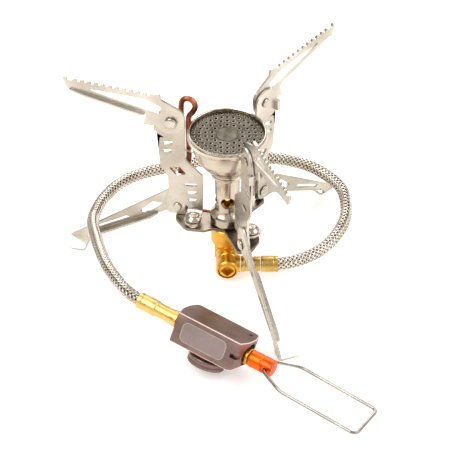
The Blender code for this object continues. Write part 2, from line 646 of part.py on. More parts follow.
def make_preheat_tube():
    """The copper loop that passes the flame, and the strap that holds it to the cup."""
    direction = SUPPORTS[0][1]
    behind = -6.0
    loop = [
        (7.9, -3.5, 17.4), (11.0, -5.0, 17.6), (15.0, behind, 19.4), (20.0, behind, 23.5),
        (24.0, behind, 29.0), (25.6, behind, 37.0), (25.6, behind, 50.0), (25.0, behind, 60.0),
        (25.0, behind, 80.0), (25.0, behind, 90.0), (24.3, behind, 94.6), (21.6, behind, 96.4),
        (18.6, behind, 94.8), (17.8, behind, 91.6), (19.2, behind, 88.2), (21.2, behind, 84.0),
        (21.2, behind, 70.0), (21.2, behind, 60.0), (22.4, -7.2, 53.0), (25.4, -9.3, 44.0),
        (26.0, -9.4, 36.0), (24.4, -9.4, 28.5), (20.0, -9.6, 23.4), (14.5, -10.2, 21.6),
        (8.6, -10.2, 21.3), (5.3, -7.1, 21.0),
    ]
    start, end = Vector(loop[0]) * 2 - Vector(loop[1]), Vector(loop[-1]) * 2 - Vector(loop[-2])
    path = [support_point(direction, *point) for point in smooth_path([start, *loop, end], 2)]
    new_part("preheat_tube", wire_mesh("preheat_tube", path, PREHEAT_RADIUS, 1), copper)
    reach = math.hypot(21.2, behind)
    strap_turn = direction + math.degrees(math.atan2(behind, 21.2))
    notch_radius = PREHEAT_RADIUS + GAP + 0.1
    notch = [
        (reach + notch_radius * math.cos(angle), notch_radius * math.sin(angle), 0)
        for angle in (math.radians(-60 - 30 * step) for step in range(9))
    ]
    strap = sheet_mesh("preheat_strap", rounded([
        (reach + 1.0, 2.8, 0.4), (reach - 3.0, 2.8, 1.0), (14.3, 2.0, 0), (14.3, -2.0, 0),
        (reach - 3.0, -2.8, 1.0), (reach + 1.0, -2.8, 0.4), *notch,
    ]), [], 1.0)
    new_part("preheat_strap", strap, steel, place=(0, 0, 65.6), turn=(0, 0, strap_turn))


def valve_rotation():
    turn = [math.radians(angle) for angle in (VALVE_ROLL, VALVE_PITCH, VALVE_TURN)]
    return Euler(turn).to_matrix()


def make_valve_body(valve):
    """A short bar with bowed ends, bored for the spindle and the hose."""
    depth, bow = BODY_HALF_DEPTH, BODY_HALF_DEPTH / 3
    outline = rounded([
        (BODY_LEFT, depth, 2.5), (BODY_LEFT - BODY_BULGE, bow, 8.0), (BODY_LEFT - BODY_BULGE, -bow, 8.0),
        (BODY_LEFT, -depth, 0.6), (BODY_RIGHT, -depth, 0.6), (BODY_RIGHT + BODY_BULGE, -bow, 8.0),
        (BODY_RIGHT + BODY_BULGE, bow, 8.0), (BODY_RIGHT, depth, 3.0),
    ])
    spare = 1.0
    mesh = sheet_mesh("valve_body", outline, [], BODY_TOP - BODY_BOTTOM + spare)
    body = new_part("valve_body", mesh, anodised, valve, (0, 0, (BODY_TOP + BODY_BOTTOM - spare) / 2))
    bevel = body.modifiers.new("edges", "BEVEL")
    bevel.width = 0.45 * MM
    bevel.segments = 1
    bevel.limit_method = "ANGLE"
    bevel.angle_limit = math.radians(50)
    side = upright(sheet_mesh("side_profile", rounded([
        (-30.0, BODY_BOTTOM, 0), (BODY_RIGHT + 2.4, BODY_BOTTOM, 6.0), (BODY_RIGHT + 2.4, 30.0, 0),
        (-30.0, 30.0, 0),
    ], steps=5), [], 3 * depth), 0.0)
    add_boolean(body, cutter("side_profile", side, parent=valve), "INTERSECT")
    cuts = (
        ("gland_recess", rod_mesh("gland_recess", 6.5, 17.0, 26.0, 24), (0, 0, VALVE_AXIS), (0, 90, 0)),
        ("spindle_bore", rod_mesh("spindle_bore", 2.4, 2.0, 20.0, 12), (0, 0, VALVE_AXIS), (0, 90, 0)),
        ("gas_way", rod_mesh("gas_way", 1.6, 4.0, VALVE_AXIS, 12), (0, 0, 0), (0, 0, 0)),
        ("stop_slot", box_mesh("stop_slot", (14.2, -13.0, -1.1), (24.0, -7.2, 1.1)), (0, 0, 14.6), (0, 0, 0)),
        ("top_hole", rod_mesh("top_hole", 1.1, -3.0, 2.0, 12), (15.2, 5.6, BODY_TOP), (0, 0, 0)),
    )
    for name, tool_mesh, place, turn in cuts:
        add_boolean(body, cutter(name, tool_mesh, place, turn, valve))


def make_canister_collar(valve):
    """The threaded collar under the body, its seal and the pin that opens the canister."""
    top = BODY_BOTTOM - GAP
    turned_part("canister_collar", [
        (7.4, top), (7.4, 4.6), (COLLAR_RADIUS - 0.4, 4.4), (COLLAR_RADIUS, 3.9), (COLLAR_RADIUS, 0.5),
        (COLLAR_RADIUS - 0.4, 0.0), (THREAD_RADIUS + 0.4, 0.0), (THREAD_RADIUS, 0.5),
        (THREAD_RADIUS, 5.0), (2.2, 5.0), (2.2, top),
    ], anodised, 28, hollow=True, parent=valve)
    ring, wire = 4.2, 0.8
    turned_part("collar_seal", [
        (ring + wire * math.cos(angle), 3.9 + wire * math.sin(angle))
        for angle in (math.pi / 2 - 2 * math.pi * side / 8 for side in range(8))
    ], rubber, 18, hollow=True, parent=valve)
    turned_part("canister_pin", [
        (0.0, top), (1.6, top), (1.6, 4.2), (1.0, 3.6), (1.0, 1.4), (0.0, 1.2),
    ], brass, 10, parent=valve)


def make_control(valve):
    """Gland nut and needle in the body, the knob on the needle and the wire bail on the knob."""
    turned_part("gland_nut", [
        (2.0, KNOB_START - GAP), (4.0, KNOB_START - GAP), (4.3, KNOB_START - 0.7), (4.3, 17.3), (2.0, 17.3),
    ], brass, 18, hollow=True, parent=valve, place=(0, 0, VALVE_AXIS), turn=(0, 90, 0))
    spindle = new_frame("knob_axis", (0, 0, VALVE_AXIS), (BAIL_TURN, 0, 0), valve)
    turned_part("valve_needle", [
        (0.0, 25.3), (1.6, 25.3), (1.6, 8.0), (0.3, 4.0), (0.0, 4.0),
    ], bright_steel, 10, parent=spindle, turn=(0, 90, 0))
    knob = turned_part("control_knob", [
        (0.0, KNOB_END), (KNOB_RADIUS - 0.4, KNOB_END), (KNOB_RADIUS, KNOB_END - 0.4),
        (KNOB_RADIUS, KNOB_START + 0.4), (KNOB_RADIUS - 0.4, KNOB_START), (1.9, KNOB_START),
        (1.9, 27.0), (0.0, 27.0),
    ], orange, 24, parent=spindle, turn=(0, 90, 0))
    for side in (-1, 1):
        low, high = sorted((side * 3.3, side * 8.0))
        flat = box_mesh("knob_flat", (28.4, low, -6.0), (KNOB_END + 2, high, 6.0))
        add_boolean(knob, cutter(f"knob_flat_{side + 1}", flat, parent=spindle))
    pin_hole = rod_mesh("bail_hole", BAIL_WIRE + GAP, -8.0, 8.0, 12)
    add_boolean(knob, cutter("bail_hole", pin_hole, (BAIL_PIVOT, 0, 0), (90, 0, 0), spindle))
    bail_axis = new_frame("bail_axis", (BAIL_PIVOT, 0, 0), (0, BAIL_DROP, 0), spindle)
    half = [(0.0, 1.4, 0.0), (0.0, 3.6, 0.0), (0.6, 4.8, 0.0), (2.0, 5.6, 0.0),
            (BAIL_BEND - 1.0, BAIL_HALF_WIDTH - 0.5, 0.0), (BAIL_BEND + 1.5, BAIL_HALF_WIDTH, 0.0)]
    corner = [
        (BAIL_LENGTH - 3.0 * (1 - math.sin(angle)), BAIL_HALF_WIDTH - 3.0 * (1 - math.cos(angle)), 0.0)
        for angle in (math.pi / 2 * step / 3 for step in range(4))
    ]
    near = [(x, -y, z) for x, y, z in [*half, *corner]]
    new_part("wire_bail", wire_mesh("wire_bail", [*near, *reversed([*half, *corner])], BAIL_WIRE),
             bright_steel, bail_axis)


def make_valve():
    valve = new_frame("valve_frame", VALVE_PLACE, (VALVE_ROLL, VALVE_PITCH, VALVE_TURN))
    make_valve_body(valve)
    make_canister_collar(valve)
    make_control(valve)
    return valve


empty_scene()
parts = new_collection("canister_stove")
cutters = new_collection("cutters")
steel = new_material("satin_steel", (0.62, 0.58, 0.53), 0.32, 1.0)
bright_steel = new_material("bright_steel", (0.72, 0.68, 0.62), 0.18, 1.0)
scorched_steel = new_material("scorched_steel", (0.30, 0.25, 0.21), 0.42, 1.0)
brass = new_material("brass", (0.80, 0.55, 0.18), 0.22, 1.0)
copper = new_material("copper", (0.55, 0.22, 0.10), 0.35, 1.0)
braid = new_material("steel_braid", (0.50, 0.47, 0.42), 0.35, 1.0)
rubber = new_material("rubber", (0.02, 0.02, 0.02), 0.7, 0.0)
anodised = new_material("anodised", (0.15, 0.11, 0.10), 0.38, 0.8)
orange = new_material("orange_anodised", (0.90, 0.20, 0.02), 0.3, 0.7)
make_base_plate()
make_jet_block()
make_burner()
make_supports()
valve_assembly = make_valve()
make_hose(valve_assembly)
make_preheat_tube()
stove = new_frame("stove_frame", STOVE_PLACE)
for piece in [*parts.objects, *cutters.objects]:
    if piece.parent is None and piece != stove:
        piece.parent = stove
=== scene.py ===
"""Looks for a folding canister stove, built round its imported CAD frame.

Lengths in this script are millimetres until MM turns them into metres. Three frames are
used: the stove's, on the table under the burner; each support's, with r outward, n to the
left when looking outward and h up; and the valve's, with x along its body and z up from
the collar's foot.
"""

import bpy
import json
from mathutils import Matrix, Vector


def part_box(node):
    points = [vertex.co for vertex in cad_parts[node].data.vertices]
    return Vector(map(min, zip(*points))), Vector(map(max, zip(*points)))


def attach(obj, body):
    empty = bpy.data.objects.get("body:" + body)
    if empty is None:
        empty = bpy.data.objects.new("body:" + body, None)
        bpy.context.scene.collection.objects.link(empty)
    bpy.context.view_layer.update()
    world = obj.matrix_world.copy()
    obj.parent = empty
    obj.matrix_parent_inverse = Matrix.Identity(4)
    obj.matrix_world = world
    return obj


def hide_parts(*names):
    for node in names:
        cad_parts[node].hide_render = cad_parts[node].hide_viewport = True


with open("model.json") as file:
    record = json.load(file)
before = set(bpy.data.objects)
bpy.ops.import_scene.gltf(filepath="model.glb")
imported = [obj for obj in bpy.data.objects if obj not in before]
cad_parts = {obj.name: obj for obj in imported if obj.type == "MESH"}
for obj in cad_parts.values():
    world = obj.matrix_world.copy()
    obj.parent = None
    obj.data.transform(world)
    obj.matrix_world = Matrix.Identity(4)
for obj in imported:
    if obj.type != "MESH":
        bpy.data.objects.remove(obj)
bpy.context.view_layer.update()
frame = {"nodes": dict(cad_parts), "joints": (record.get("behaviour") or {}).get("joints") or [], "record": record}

import json
import math

import bmesh
import bpy
import numpy as np
from mathutils import Euler, Matrix, Vector

MM = 0.001
TAU = 2 * math.pi
SHEET = 1.2
GAP = 0.3
ARM_PIVOT, LEG_PIVOT = (28.4, 86.0), (25.9, 31.7)
SWIVEL = (16.0, 7.0)
PIN_HOLE, SWIVEL_HOLE = 2.0, 2.3
TAB_BOTTOM, TAB_BEND = 29.3, 2.0
RAIL_R, RAIL_H, RAIL_SLOPE = 38.4, 101.0, 0.068
TOOTH_FIRST, TOOTH_PITCH, TOOTH_COUNT = 41.6, 3.58, 11
PLATE_BOTTOM, PLATE_TOP = 25.0, 26.6
FLAME_PLATE_TOP = 82.0
HOSE_RADIUS, FERRULE_RADIUS = 3.2, 4.15
STEM_Y, STEM_Z = -12.5, 8.4
BOSS_END = 18.5
VALVE_AXIS = 14.2
BODY_BOTTOM, BODY_TOP = 6.6, 22.4
BODY_LEFT, BODY_RIGHT, BODY_DEPTH, BODY_BULGE = -18.0, 17.8, 11.1, 1.8
VALVE_FERRULE_START, VALVE_FERRULE_END = -20.9, -44.2
KNOB_START, KNOB_END, KNOB_RADIUS = 21.0, 34.2, 4.3
BAIL_WIRE, BAIL_HALF_WIDTH, BAIL_BEND, BAIL_LENGTH = 0.9, 10.7, 12.8, 56.5
ALONG_X = Matrix.Rotation(math.pi / 2, 4, "Y")
ALONG_MINUS_Y = Matrix.Rotation(math.pi / 2, 4, "X")

scene = bpy.context.scene
record = frame["record"]
joints = {joint["name"]: joint for joint in frame["joints"]}
mounts = {mount["name"]: mount for mount in record["mounts"]}


# ---------------------------------------------------------------- frames

def shift(x=0.0, y=0.0, z=0.0):
    return Matrix.Translation((x * MM, y * MM, z * MM))


def frame_matrix(origin, x_axis, z_axis):
    """A placing matrix from an origin in metres and two axes."""
    x, z = Vector(x_axis).normalized(), Vector(z_axis).normalized()
    y = z.cross(x).normalized()
    turn = Matrix((x, y, z)).transposed().to_4x4()
    return Matrix.Translation(Vector(origin)) @ turn


centre = Vector((*mounts["flame_face"]["pos_m"][:2], 0.0))
STOVE = Matrix.Translation(centre)
SUPPORTS = {}
for side in ("left", "right", "front"):
    across = Vector(joints[f"arm_fold_{side}"]["axis"])
    SUPPORTS[side] = frame_matrix(centre, across.cross(Vector((0, 0, 1))), (0, 0, 1))
valve_x = Vector(joints["knob_turn"]["axis"])
valve_z = -Vector(mounts["canister_seat"]["axis"])
VALVE = frame_matrix(Vector(joints["knob_turn"]["pos_m"]) - valve_z.normalized() * VALVE_AXIS * MM,
                     valve_x, valve_z)
VALVE_LINE = VALVE @ shift(z=VALVE_AXIS)


# ---------------------------------------------------------------- mesh helpers

def rounded(corners, steps=6):
    """A closed outline through corners (x, y, radius), each turned into an arc."""
    points = []
    for index, (x, y, radius) in enumerate(corners):
        corner = Vector((x, y))
        if radius == 0:
            points.append((x, y))
            continue
        before = (Vector(corners[index - 1][:2]) - corner).normalized()
        after = (Vector(corners[(index + 1) % len(corners)][:2]) - corner).normalized()
        half = before.angle(after) / 2
        middle = corner + (before + after).normalized() * radius / math.sin(half)
        first = corner + before * radius / math.tan(half) - middle
        last = corner + after * radius / math.tan(half) - middle
        for step in range(steps + 1):
            ray = first.lerp(last, step / steps).normalized()
            points.append(tuple(middle + ray * radius))
    return points


def softened(points, radius=0.25, steps=3):
    """An open line through (x, y) or (x, y, radius) with its inner corners rounded."""
    line = [points[0][:2]]
    for before, here, after in zip(points, points[1:], points[2:]):
        corner = Vector(here[:2])
        back, on = Vector(before[:2]) - corner, Vector(after[:2]) - corner
        reach = min(here[2] if len(here) > 2 else radius, back.length * 0.45, on.length * 0.45)
        start, end = corner + back.normalized() * reach, corner + on.normalized() * reach
        for step in range(steps + 1):
            t = step / steps
            line.append(tuple(start * (1 - t) ** 2 + corner * 2 * t * (1 - t) + end * t**2))
    line.append(points[-1][:2])
    return line


def circle(x, y, radius, sides):
    return [(x + radius * math.cos(TAU * side / sides), y + radius * math.sin(TAU * side / sides))
            for side in range(sides)]


def stadium(start, end, width, steps=6):
    """The outline of a slot with round ends between two centres."""
    start, end = Vector(start), Vector(end)
    heading = math.atan2(end.y - start.y, end.x - start.x)
    points = []
    for middle, half in ((end, -0.5), (start, 0.5)):
        for step in range(steps + 1):
            angle = heading + math.pi * (half + step / steps)
            points.append(tuple(middle + Vector((math.cos(angle), math.sin(angle))) * width / 2))
    return points


def written(shape, mesh):
    """The mesh after it takes over a bmesh's shape."""
    shape.to_mesh(mesh)
    shape.free()
    return mesh


def cleaned(mesh, weld=True):
    """Weld the mesh and turn its faces outward."""
    shape = bmesh.new()
    shape.from_mesh(mesh)
    if weld:
        bmesh.ops.remove_doubles(shape, verts=shape.verts, dist=0.002 * MM)
    bmesh.ops.recalc_face_normals(shape, faces=shape.faces)
    if shape.calc_volume(signed=True) < 0:
        bmesh.ops.reverse_faces(shape, faces=shape.faces)
    return written(shape, mesh)


def new_mesh(vertices, faces):
    mesh = bpy.data.meshes.new("mesh")
    mesh.from_pydata(vertices, [], faces)
    return mesh


def evaluated(source):
    bpy.context.view_layer.update()
    seen = source.evaluated_get(bpy.context.evaluated_depsgraph_get())
    return bpy.data.meshes.new_from_object(seen)


def sheet(outline, holes, thickness=SHEET):
    """A flat plate in the XY plane, centred on it, with its holes."""
    curve = bpy.data.curves.new("sheet", "CURVE")
    curve.dimensions = "2D"
    curve.fill_mode = "BOTH"
    curve.extrude = thickness / 2 * MM
    for loop in [outline, *holes]:
        spline = curve.splines.new("POLY")
        spline.points.add(len(loop) - 1)
        spline.use_cyclic_u = True
        for point, (x, y) in zip(spline.points, loop):
            point.co = (x * MM, y * MM, 0.0, 1.0)
    source = bpy.data.objects.new("sheet", curve)
    scene.collection.objects.link(source)
    mesh = evaluated(source)
    bpy.data.objects.remove(source, do_unlink=True)
    bpy.data.curves.remove(curve)
    return cleaned(mesh)


def moved(mesh, matrix):
    mesh.transform(matrix)
    return mesh


def lifted(mesh, x=0.0, y=0.0, z=0.0):
    return moved(mesh, shift(x, y, z))


def upright(mesh, n_offset):
    """Stand a sheet drawn as (r, h) up in the support's frame, at a distance along n."""
    return lifted(moved(mesh, ALONG_MINUS_Y), y=n_offset)


def swept(section, low, high):
    """A section drawn as (y, z), drawn out along x."""
    y_and_z_first = Matrix(((0, 0, 1, 0), (1, 0, 0, 0), (0, 1, 0, 0), (0, 0, 0, 1)))
    return moved(sheet(section, [], high - low), shift((low + high) / 2) @ y_and_z_first)


def box(low, high, matrix=None):
    shape = bmesh.new()
    bmesh.ops.create_cube(shape, size=1.0)
    low, high = Vector(low), Vector(high)
    bmesh.ops.scale(shape, vec=(high - low) * MM, verts=shape.verts)
    bmesh.ops.translate(shape, vec=(high + low) / 2 * MM, verts=shape.verts)
    mesh = written(shape, bpy.data.meshes.new("box"))
    return moved(mesh, matrix) if matrix else mesh


def rod(radius, low, high, sides=32, matrix=None):
    return turned([(0.0, high), (radius, high), (radius, low), (0.0, low)], sides, matrix, soft=0)


def turned(profile, sides=48, matrix=None, hollow=False, soft=0.2, scallop=None):
    """A body of revolution about Z from (radius, height) points, its corners rounded.

    A scallop (count, depth, low, high) presses flutes into the side between two heights.
    """
    if hollow:
        ring = rounded([(point[0], point[1], soft and min(soft, 0.1)) for point in profile], 2)
    else:
        ring = softened(profile, soft) if soft else [point[:2] for point in profile]
    vertices, faces, rows = [], [], []
    for radius, height in ring:
        if radius < 1e-6:
            rows.append([len(vertices)] * sides)
            vertices.append((0.0, 0.0, height * MM))
            continue
        rows.append(list(range(len(vertices), len(vertices) + sides)))
        for side in range(sides):
            angle, reach = TAU * side / sides, radius
            if scallop and scallop[2] < height < scallop[3]:
                reach -= scallop[1] * (0.5 + 0.5 * math.cos(angle * scallop[0]))
            vertices.append((reach * math.cos(angle) * MM, reach * math.sin(angle) * MM, height * MM))
    pairs = list(zip(rows, rows[1:]))
    if hollow:
        pairs.append((rows[-1], rows[0]))
    for upper, lower in pairs:
        for side in range(sides):
            after = (side + 1) % sides
            face = [upper[side], upper[after], lower[after], lower[side]]
            face = [vertex for index, vertex in enumerate(face) if vertex not in face[:index]]
            if len(face) > 2:
                faces.append(face)
    mesh = cleaned(new_mesh(vertices, faces))
    return moved(mesh, matrix) if matrix else mesh


def smooth_path(waypoints, steps):
    """A Catmull-Rom line through the waypoints, without the first and the last one."""
    points = [Vector(point) for point in waypoints]
    path = []
    for a, b, c, d in zip(points, points[1:], points[2:], points[3:]):
        for step in range(steps):
            t = step / steps
            path.append(0.5 * (2 * b + (c - a) * t + (2 * a - 5 * b + 4 * c - d) * t**2
                               + (3 * b - a - 3 * c + d) * t**3))
    path.append(points[-2])
    return path


def path_frames(path, spacing):
    """Evenly spaced places along a path, each with its two cross directions."""
    places = np.array([tuple(point) for point in path])
    lengths = np.concatenate([[0], np.cumsum(np.linalg.norm(np.diff(places, axis=0), axis=1))])
    count = max(2, int(lengths[-1] / spacing) + 1)
    stations = np.linspace(0, lengths[-1], count)
    even = np.stack([np.interp(stations, lengths, places[:, axis]) for axis in range(3)], 1)
    ahead = np.gradient(even, axis=0)
    ahead /= np.linalg.norm(ahead, axis=1)[:, None]
    side = np.zeros_like(even)
    start = np.cross(ahead[0], (0.0, 0.0, 1.0))
    if np.linalg.norm(start) < 0.1:
        start = np.cross(ahead[0], (0.0, 1.0, 0.0))
    side[0] = start / np.linalg.norm(start)
    for index in range(1, count):
        turn = side[index - 1] - ahead[index] * (side[index - 1] @ ahead[index])
        side[index] = turn / np.linalg.norm(turn)
    return stations, even, side, np.cross(ahead, side)


def grid_faces(rows, columns, first=0):
    """Quads of a closed strip of rows, each row a closed ring, with its two end caps."""
    faces = []
    for row in range(rows - 1):
        for column in range(columns):
            a, b = first + row * columns + column, first + row * columns + (column + 1) % columns
            faces.append((a, b, b + columns, a + columns))
    last = first + (rows - 1) * columns
    faces.append(tuple(range(first + columns - 1, first - 1, -1)))
    faces.append(tuple(range(last, last + columns)))
    return faces


def wire(path, radius, spacing=0.8, sides=20):
    """A solid round wire along a path."""
    _, places, side, up = path_frames(path, spacing)
    angles = np.arange(sides) * TAU / sides
    rings = (places[:, None] + radius * (np.cos(angles)[None, :, None] * side[:, None]
                                         + np.sin(angles)[None, :, None] * up[:, None]))
    return cleaned(new_mesh((rings.reshape(-1, 3) * MM).tolist(), grid_faces(len(places), sides)))


def combined(mesh, steps):
    """The mesh after Boolean steps, each an operation and another mesh."""
    whole = bpy.data.objects.new("whole", mesh)
    scene.collection.objects.link(whole)
    tools = []
    for operation, other in steps:
        tool = bpy.data.objects.new("tool", other)
        scene.collection.objects.link(tool)
        modifier = whole.modifiers.new("step", "BOOLEAN")
        modifier.operation = operation
        modifier.solver = "EXACT"
        modifier.object = tool
        tools.append(tool)
    result = evaluated(whole)
    for item in [whole, *tools]:
        bpy.data.objects.remove(item, do_unlink=True)
    return result


def bevelled(piece, width, angle=40):
    """A bevel modifier on the edges of a piece that are sharper than an angle in degrees."""
    edges = piece.modifiers.new("edges", "BEVEL")
    edges.width = width * MM
    edges.segments = 2
    edges.limit_method = "ANGLE"
    edges.angle_limit = math.radians(angle)
    return edges


def edged(mesh, width):
    """The mesh with its sharp edges bevelled; the bevels take its second finish."""
    for finish in ("faces", "edges"):
        mesh.materials.append(bpy.data.materials.new(finish))
    holder = bpy.data.objects.new("edged", mesh)
    scene.collection.objects.link(holder)
    edges = bevelled(holder, width)
    edges.material = 1
    edges.use_clamp_overlap = False
    result = evaluated(holder)
    bpy.data.objects.remove(holder, do_unlink=True)
    return result


def joined(meshes):
    """Several closed meshes as one."""
    shape = bmesh.new()
    for mesh in meshes:
        shape.from_mesh(mesh)
    return written(shape, bpy.data.meshes.new("joined"))


def show(name, mesh, material, body, nodes=(), place=STOVE, bevel=0.0, extra=()):
    """Put a piece in the scene, on its body, in place of the CAD nodes it stands for."""
    mesh = mesh.copy()
    finishes = [polygon.material_index for polygon in mesh.polygons]
    mesh.materials.clear()
    for item in (material, *extra):
        mesh.materials.append(item)
    if extra:
        mesh.polygons.foreach_set("material_index", finishes)
    mesh.shade_smooth()
    mesh.set_sharp_from_angle(angle=math.radians(33))
    piece = bpy.data.objects.new(name, mesh)
    scene.collection.objects.link(piece)
    piece.matrix_world = place
    if bevel:
        bevelled(piece, bevel).harden_normals = True
    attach(piece, body)
    if nodes:
        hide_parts(*nodes)
    return piece


# ---------------------------------------------------------------- materials

class Nodes:
    """A short way to build the node tree of a material or a world."""

    def __init__(self, name, kind=bpy.data.materials, shader="Principled BSDF"):
        self.owner = kind.new(name)
        self.owner.use_nodes = True
        self.tree = self.owner.node_tree
        self.shader = self.tree.nodes[shader]

    def add(self, kind, **values):
        node = self.tree.nodes.new(kind)
        for key, value in values.items():
            if key in node.inputs:
                node.inputs[key].default_value = value
            else:
                setattr(node, key, value)
        return node

    def link(self, source, target):
        self.tree.links.new(source, target)

    def place(self, stretch=(1.0, 1.0, 1.0)):
        """Object coordinates in units of a millimetre, shifted a little for each piece."""
        where = self.add("ShaderNodeTexCoord")
        info = self.add("ShaderNodeObjectInfo")
        shift = self.add("ShaderNodeVectorMath", operation="SCALE")
        self.link(where.outputs["Object"], shift.inputs[0])
        shift.inputs["Scale"].default_value = 1 / MM
        spread = self.add("ShaderNodeMath", operation="MULTIPLY")
        spread.inputs[1].default_value = 60.0
        self.link(info.outputs["Random"], spread.inputs[0])
        moved_by = self.add("ShaderNodeVectorMath", operation="ADD")
        self.link(shift.outputs[0], moved_by.inputs[0])
        self.link(spread.outputs[0], moved_by.inputs[1])
        scale = self.add("ShaderNodeVectorMath", operation="MULTIPLY")
        scale.inputs[1].default_value = stretch
        self.link(moved_by.outputs[0], scale.inputs[0])
        return scale.outputs[0]

    def noise(self, scale, detail=3.0, stretch=(1.0, 1.0, 1.0), roughness=0.5):
        node = self.add("ShaderNodeTexNoise", Scale=scale, Detail=detail, Roughness=roughness)
        self.link(self.place(stretch), node.inputs["Vector"])
        return node.outputs["Fac"]

    def ramp(self, factor, stops):
        """A colour ramp; each stop is a place and a colour or a grey value."""
        node = self.add("ShaderNodeValToRGB")
        elements = node.color_ramp.elements
        while len(elements) < len(stops):
            elements.new(0.5)
        for element, (place, colour) in zip(elements, stops):
            element.position = place
            element.color = (*colour, 1.0) if isinstance(colour, tuple) else (colour,) * 3 + (1.0,)
        self.link(factor, node.inputs["Fac"])
        return node.outputs["Color"]

    def mix(self, factor, first, second, blend="MIX"):
        node = self.add("ShaderNodeMix", data_type="RGBA", blend_type=blend)
        for socket, value in ((0, factor), (6, first), (7, second)):
            if isinstance(value, bpy.types.NodeSocket):
                self.link(value, node.inputs[socket])
            else:
                node.inputs[socket].default_value = value if socket == 0 else (*value, 1.0)
        return node.outputs[2]

    def edge(self, radius=0.35, low=0.005, high=0.10):
        """1 near a sharp edge, 0 on flat and smoothly curved faces."""
        bevel = self.add("ShaderNodeBevel", samples=4)
        bevel.inputs["Radius"].default_value = radius * MM
        flat = self.add("ShaderNodeNewGeometry")
        dot = self.add("ShaderNodeVectorMath", operation="DOT_PRODUCT")
        self.link(bevel.outputs[0], dot.inputs[0])
        self.link(flat.outputs["Normal"], dot.inputs[1])
        span = self.add("ShaderNodeMapRange")
        span.inputs["From Min"].default_value = 1 - low
        span.inputs["From Max"].default_value = 1 - high
        self.link(dot.outputs["Value"], span.inputs["Value"])
        return span.outputs[0]

    def bump(self, height, strength, distance=0.05):
        node = self.add("ShaderNodeBump", Strength=strength)
        node.inputs["Distance"].default_value = distance * MM
        self.link(height, node.inputs["Height"])
        self.link(node.outputs[0], self.shader.inputs["Normal"])

    def finish(self, colour, roughness, metallic=1.0):
        for value, name in ((colour, "Base Color"), (roughness, "Roughness")):
            if isinstance(value, bpy.types.NodeSocket):
                self.link(value, self.shader.inputs[name])
            elif isinstance(value, tuple):
                self.shader.inputs[name].default_value = (*value, 1.0)
            else:
                self.shader.inputs[name].default_value = value
        self.shader.inputs["Metallic"].default_value = metallic
        return self.owner


def metal(name, dark, light, painted_edge_colour, rough, grain=(1.0, 1.0, 1.0), grain_scale=1.6,
          painted_edge_share=0.75, cloud=0.05, grain_depth=0.25, edge_radius=0.35):
    """A metal: cloudy tone, a drawn grain, and painted edges: a darker edge colour is painted shade, a lighter one
    a painted highlight.
    """
    nodes = Nodes(name)
    clouds = nodes.noise(cloud, 4.0)
    drawn = nodes.noise(grain_scale, 3.0, grain, 0.65)
    tone = nodes.ramp(clouds, [(0.32, dark), (0.68, light)])
    streaks = nodes.ramp(drawn, [(0.3, 0.80), (0.7, 1.0)])
    colour = nodes.mix(1.0, tone, streaks, "MULTIPLY")
    # Painted light on edges and creases: the painted edge colour, mixed in by the edge mask.
    share = nodes.add("ShaderNodeMath", operation="MULTIPLY")
    share.inputs[1].default_value = painted_edge_share
    nodes.link(nodes.edge(edge_radius), share.inputs[0])
    colour = nodes.mix(share.outputs[0], colour, painted_edge_colour)
    polish = nodes.ramp(drawn, [(0.25, rough * 0.75), (0.8, min(1.0, rough * 1.35))])
    nodes.bump(drawn, grain_depth)
    return nodes.finish(colour, polish)


# sheet_steel: edges and bend creases painted darker, a painted shade.
sheet_steel = metal("sheet_steel", (0.56, 0.525, 0.47), (0.82, 0.795, 0.745), (0.10, 0.065, 0.045),
                    0.32, (0.25, 0.25, 3.0), painted_edge_share=0.55, grain_depth=0.12)
# dark_steel: edges painted lighter than the plate, a painted highlight.
dark_steel = metal("dark_steel", (0.15, 0.115, 0.09), (0.36, 0.31, 0.26), (0.72, 0.66, 0.58), 0.30,
                   (0.25, 0.25, 3.0), painted_edge_share=0.6)
pin_steel = metal("pin_steel", (0.52, 0.48, 0.42), (0.80, 0.76, 0.70), (0.16, 0.11, 0.08), 0.22,
                  painted_edge_share=0.5)
polished_steel = metal("polished_steel", (0.54, 0.47, 0.39), (0.76, 0.70, 0.62),
                       (0.18, 0.12, 0.08), 0.22, (0.15, 0.15, 2.5), painted_edge_share=0.35, grain_depth=0.08)
wire_steel = metal("wire_steel", (0.34, 0.31, 0.28), (0.62, 0.59, 0.55), (0.2, 0.15, 0.12), 0.2,
                   (0.6, 0.6, 0.6), painted_edge_share=0.2)
smooth = {"grain": (0.5, 0.5, 0.5), "painted_edge_share": 0.35, "cloud": 0.12, "grain_depth": 0.02}
brass = metal("machined_brass", (0.78, 0.42, 0.06), (0.92, 0.55, 0.11), (0.46, 0.22, 0.02), 0.34,
              **smooth)
dull_brass = metal("dull_brass", (0.62, 0.42, 0.10), (0.82, 0.60, 0.19), (0.36, 0.20, 0.04), 0.32,
                   **smooth)
pale_brass = metal("pale_brass", (0.88, 0.60, 0.18), (0.98, 0.74, 0.30), (0.60, 0.38, 0.10), 0.38,
                   **smooth)
# dark_anodised: edges painted lighter than the body, a painted highlight.
anodised = metal("dark_anodised", (0.25, 0.172, 0.160), (0.36, 0.255, 0.24), (0.52, 0.39, 0.37),
                 0.42, (0.15, 1.2, 1.2), painted_edge_share=0.7, cloud=0.08)
# The valve body's bevels are painted a pale, nearly matte colour: a painted highlight along its edges.
edge_highlight = Nodes("bright_edge").finish((0.86, 0.66, 0.62), 0.5, 0.15)
panel_metal = metal("panel_metal", (0.40, 0.33, 0.335), (0.50, 0.42, 0.43), (0.3, 0.25, 0.22), 0.45,
                    painted_edge_share=0.0)
etched = metal("etched_metal", (0.60, 0.55, 0.51), (0.72, 0.68, 0.63), (0.3, 0.25, 0.22), 0.45,
               painted_edge_share=0.3)
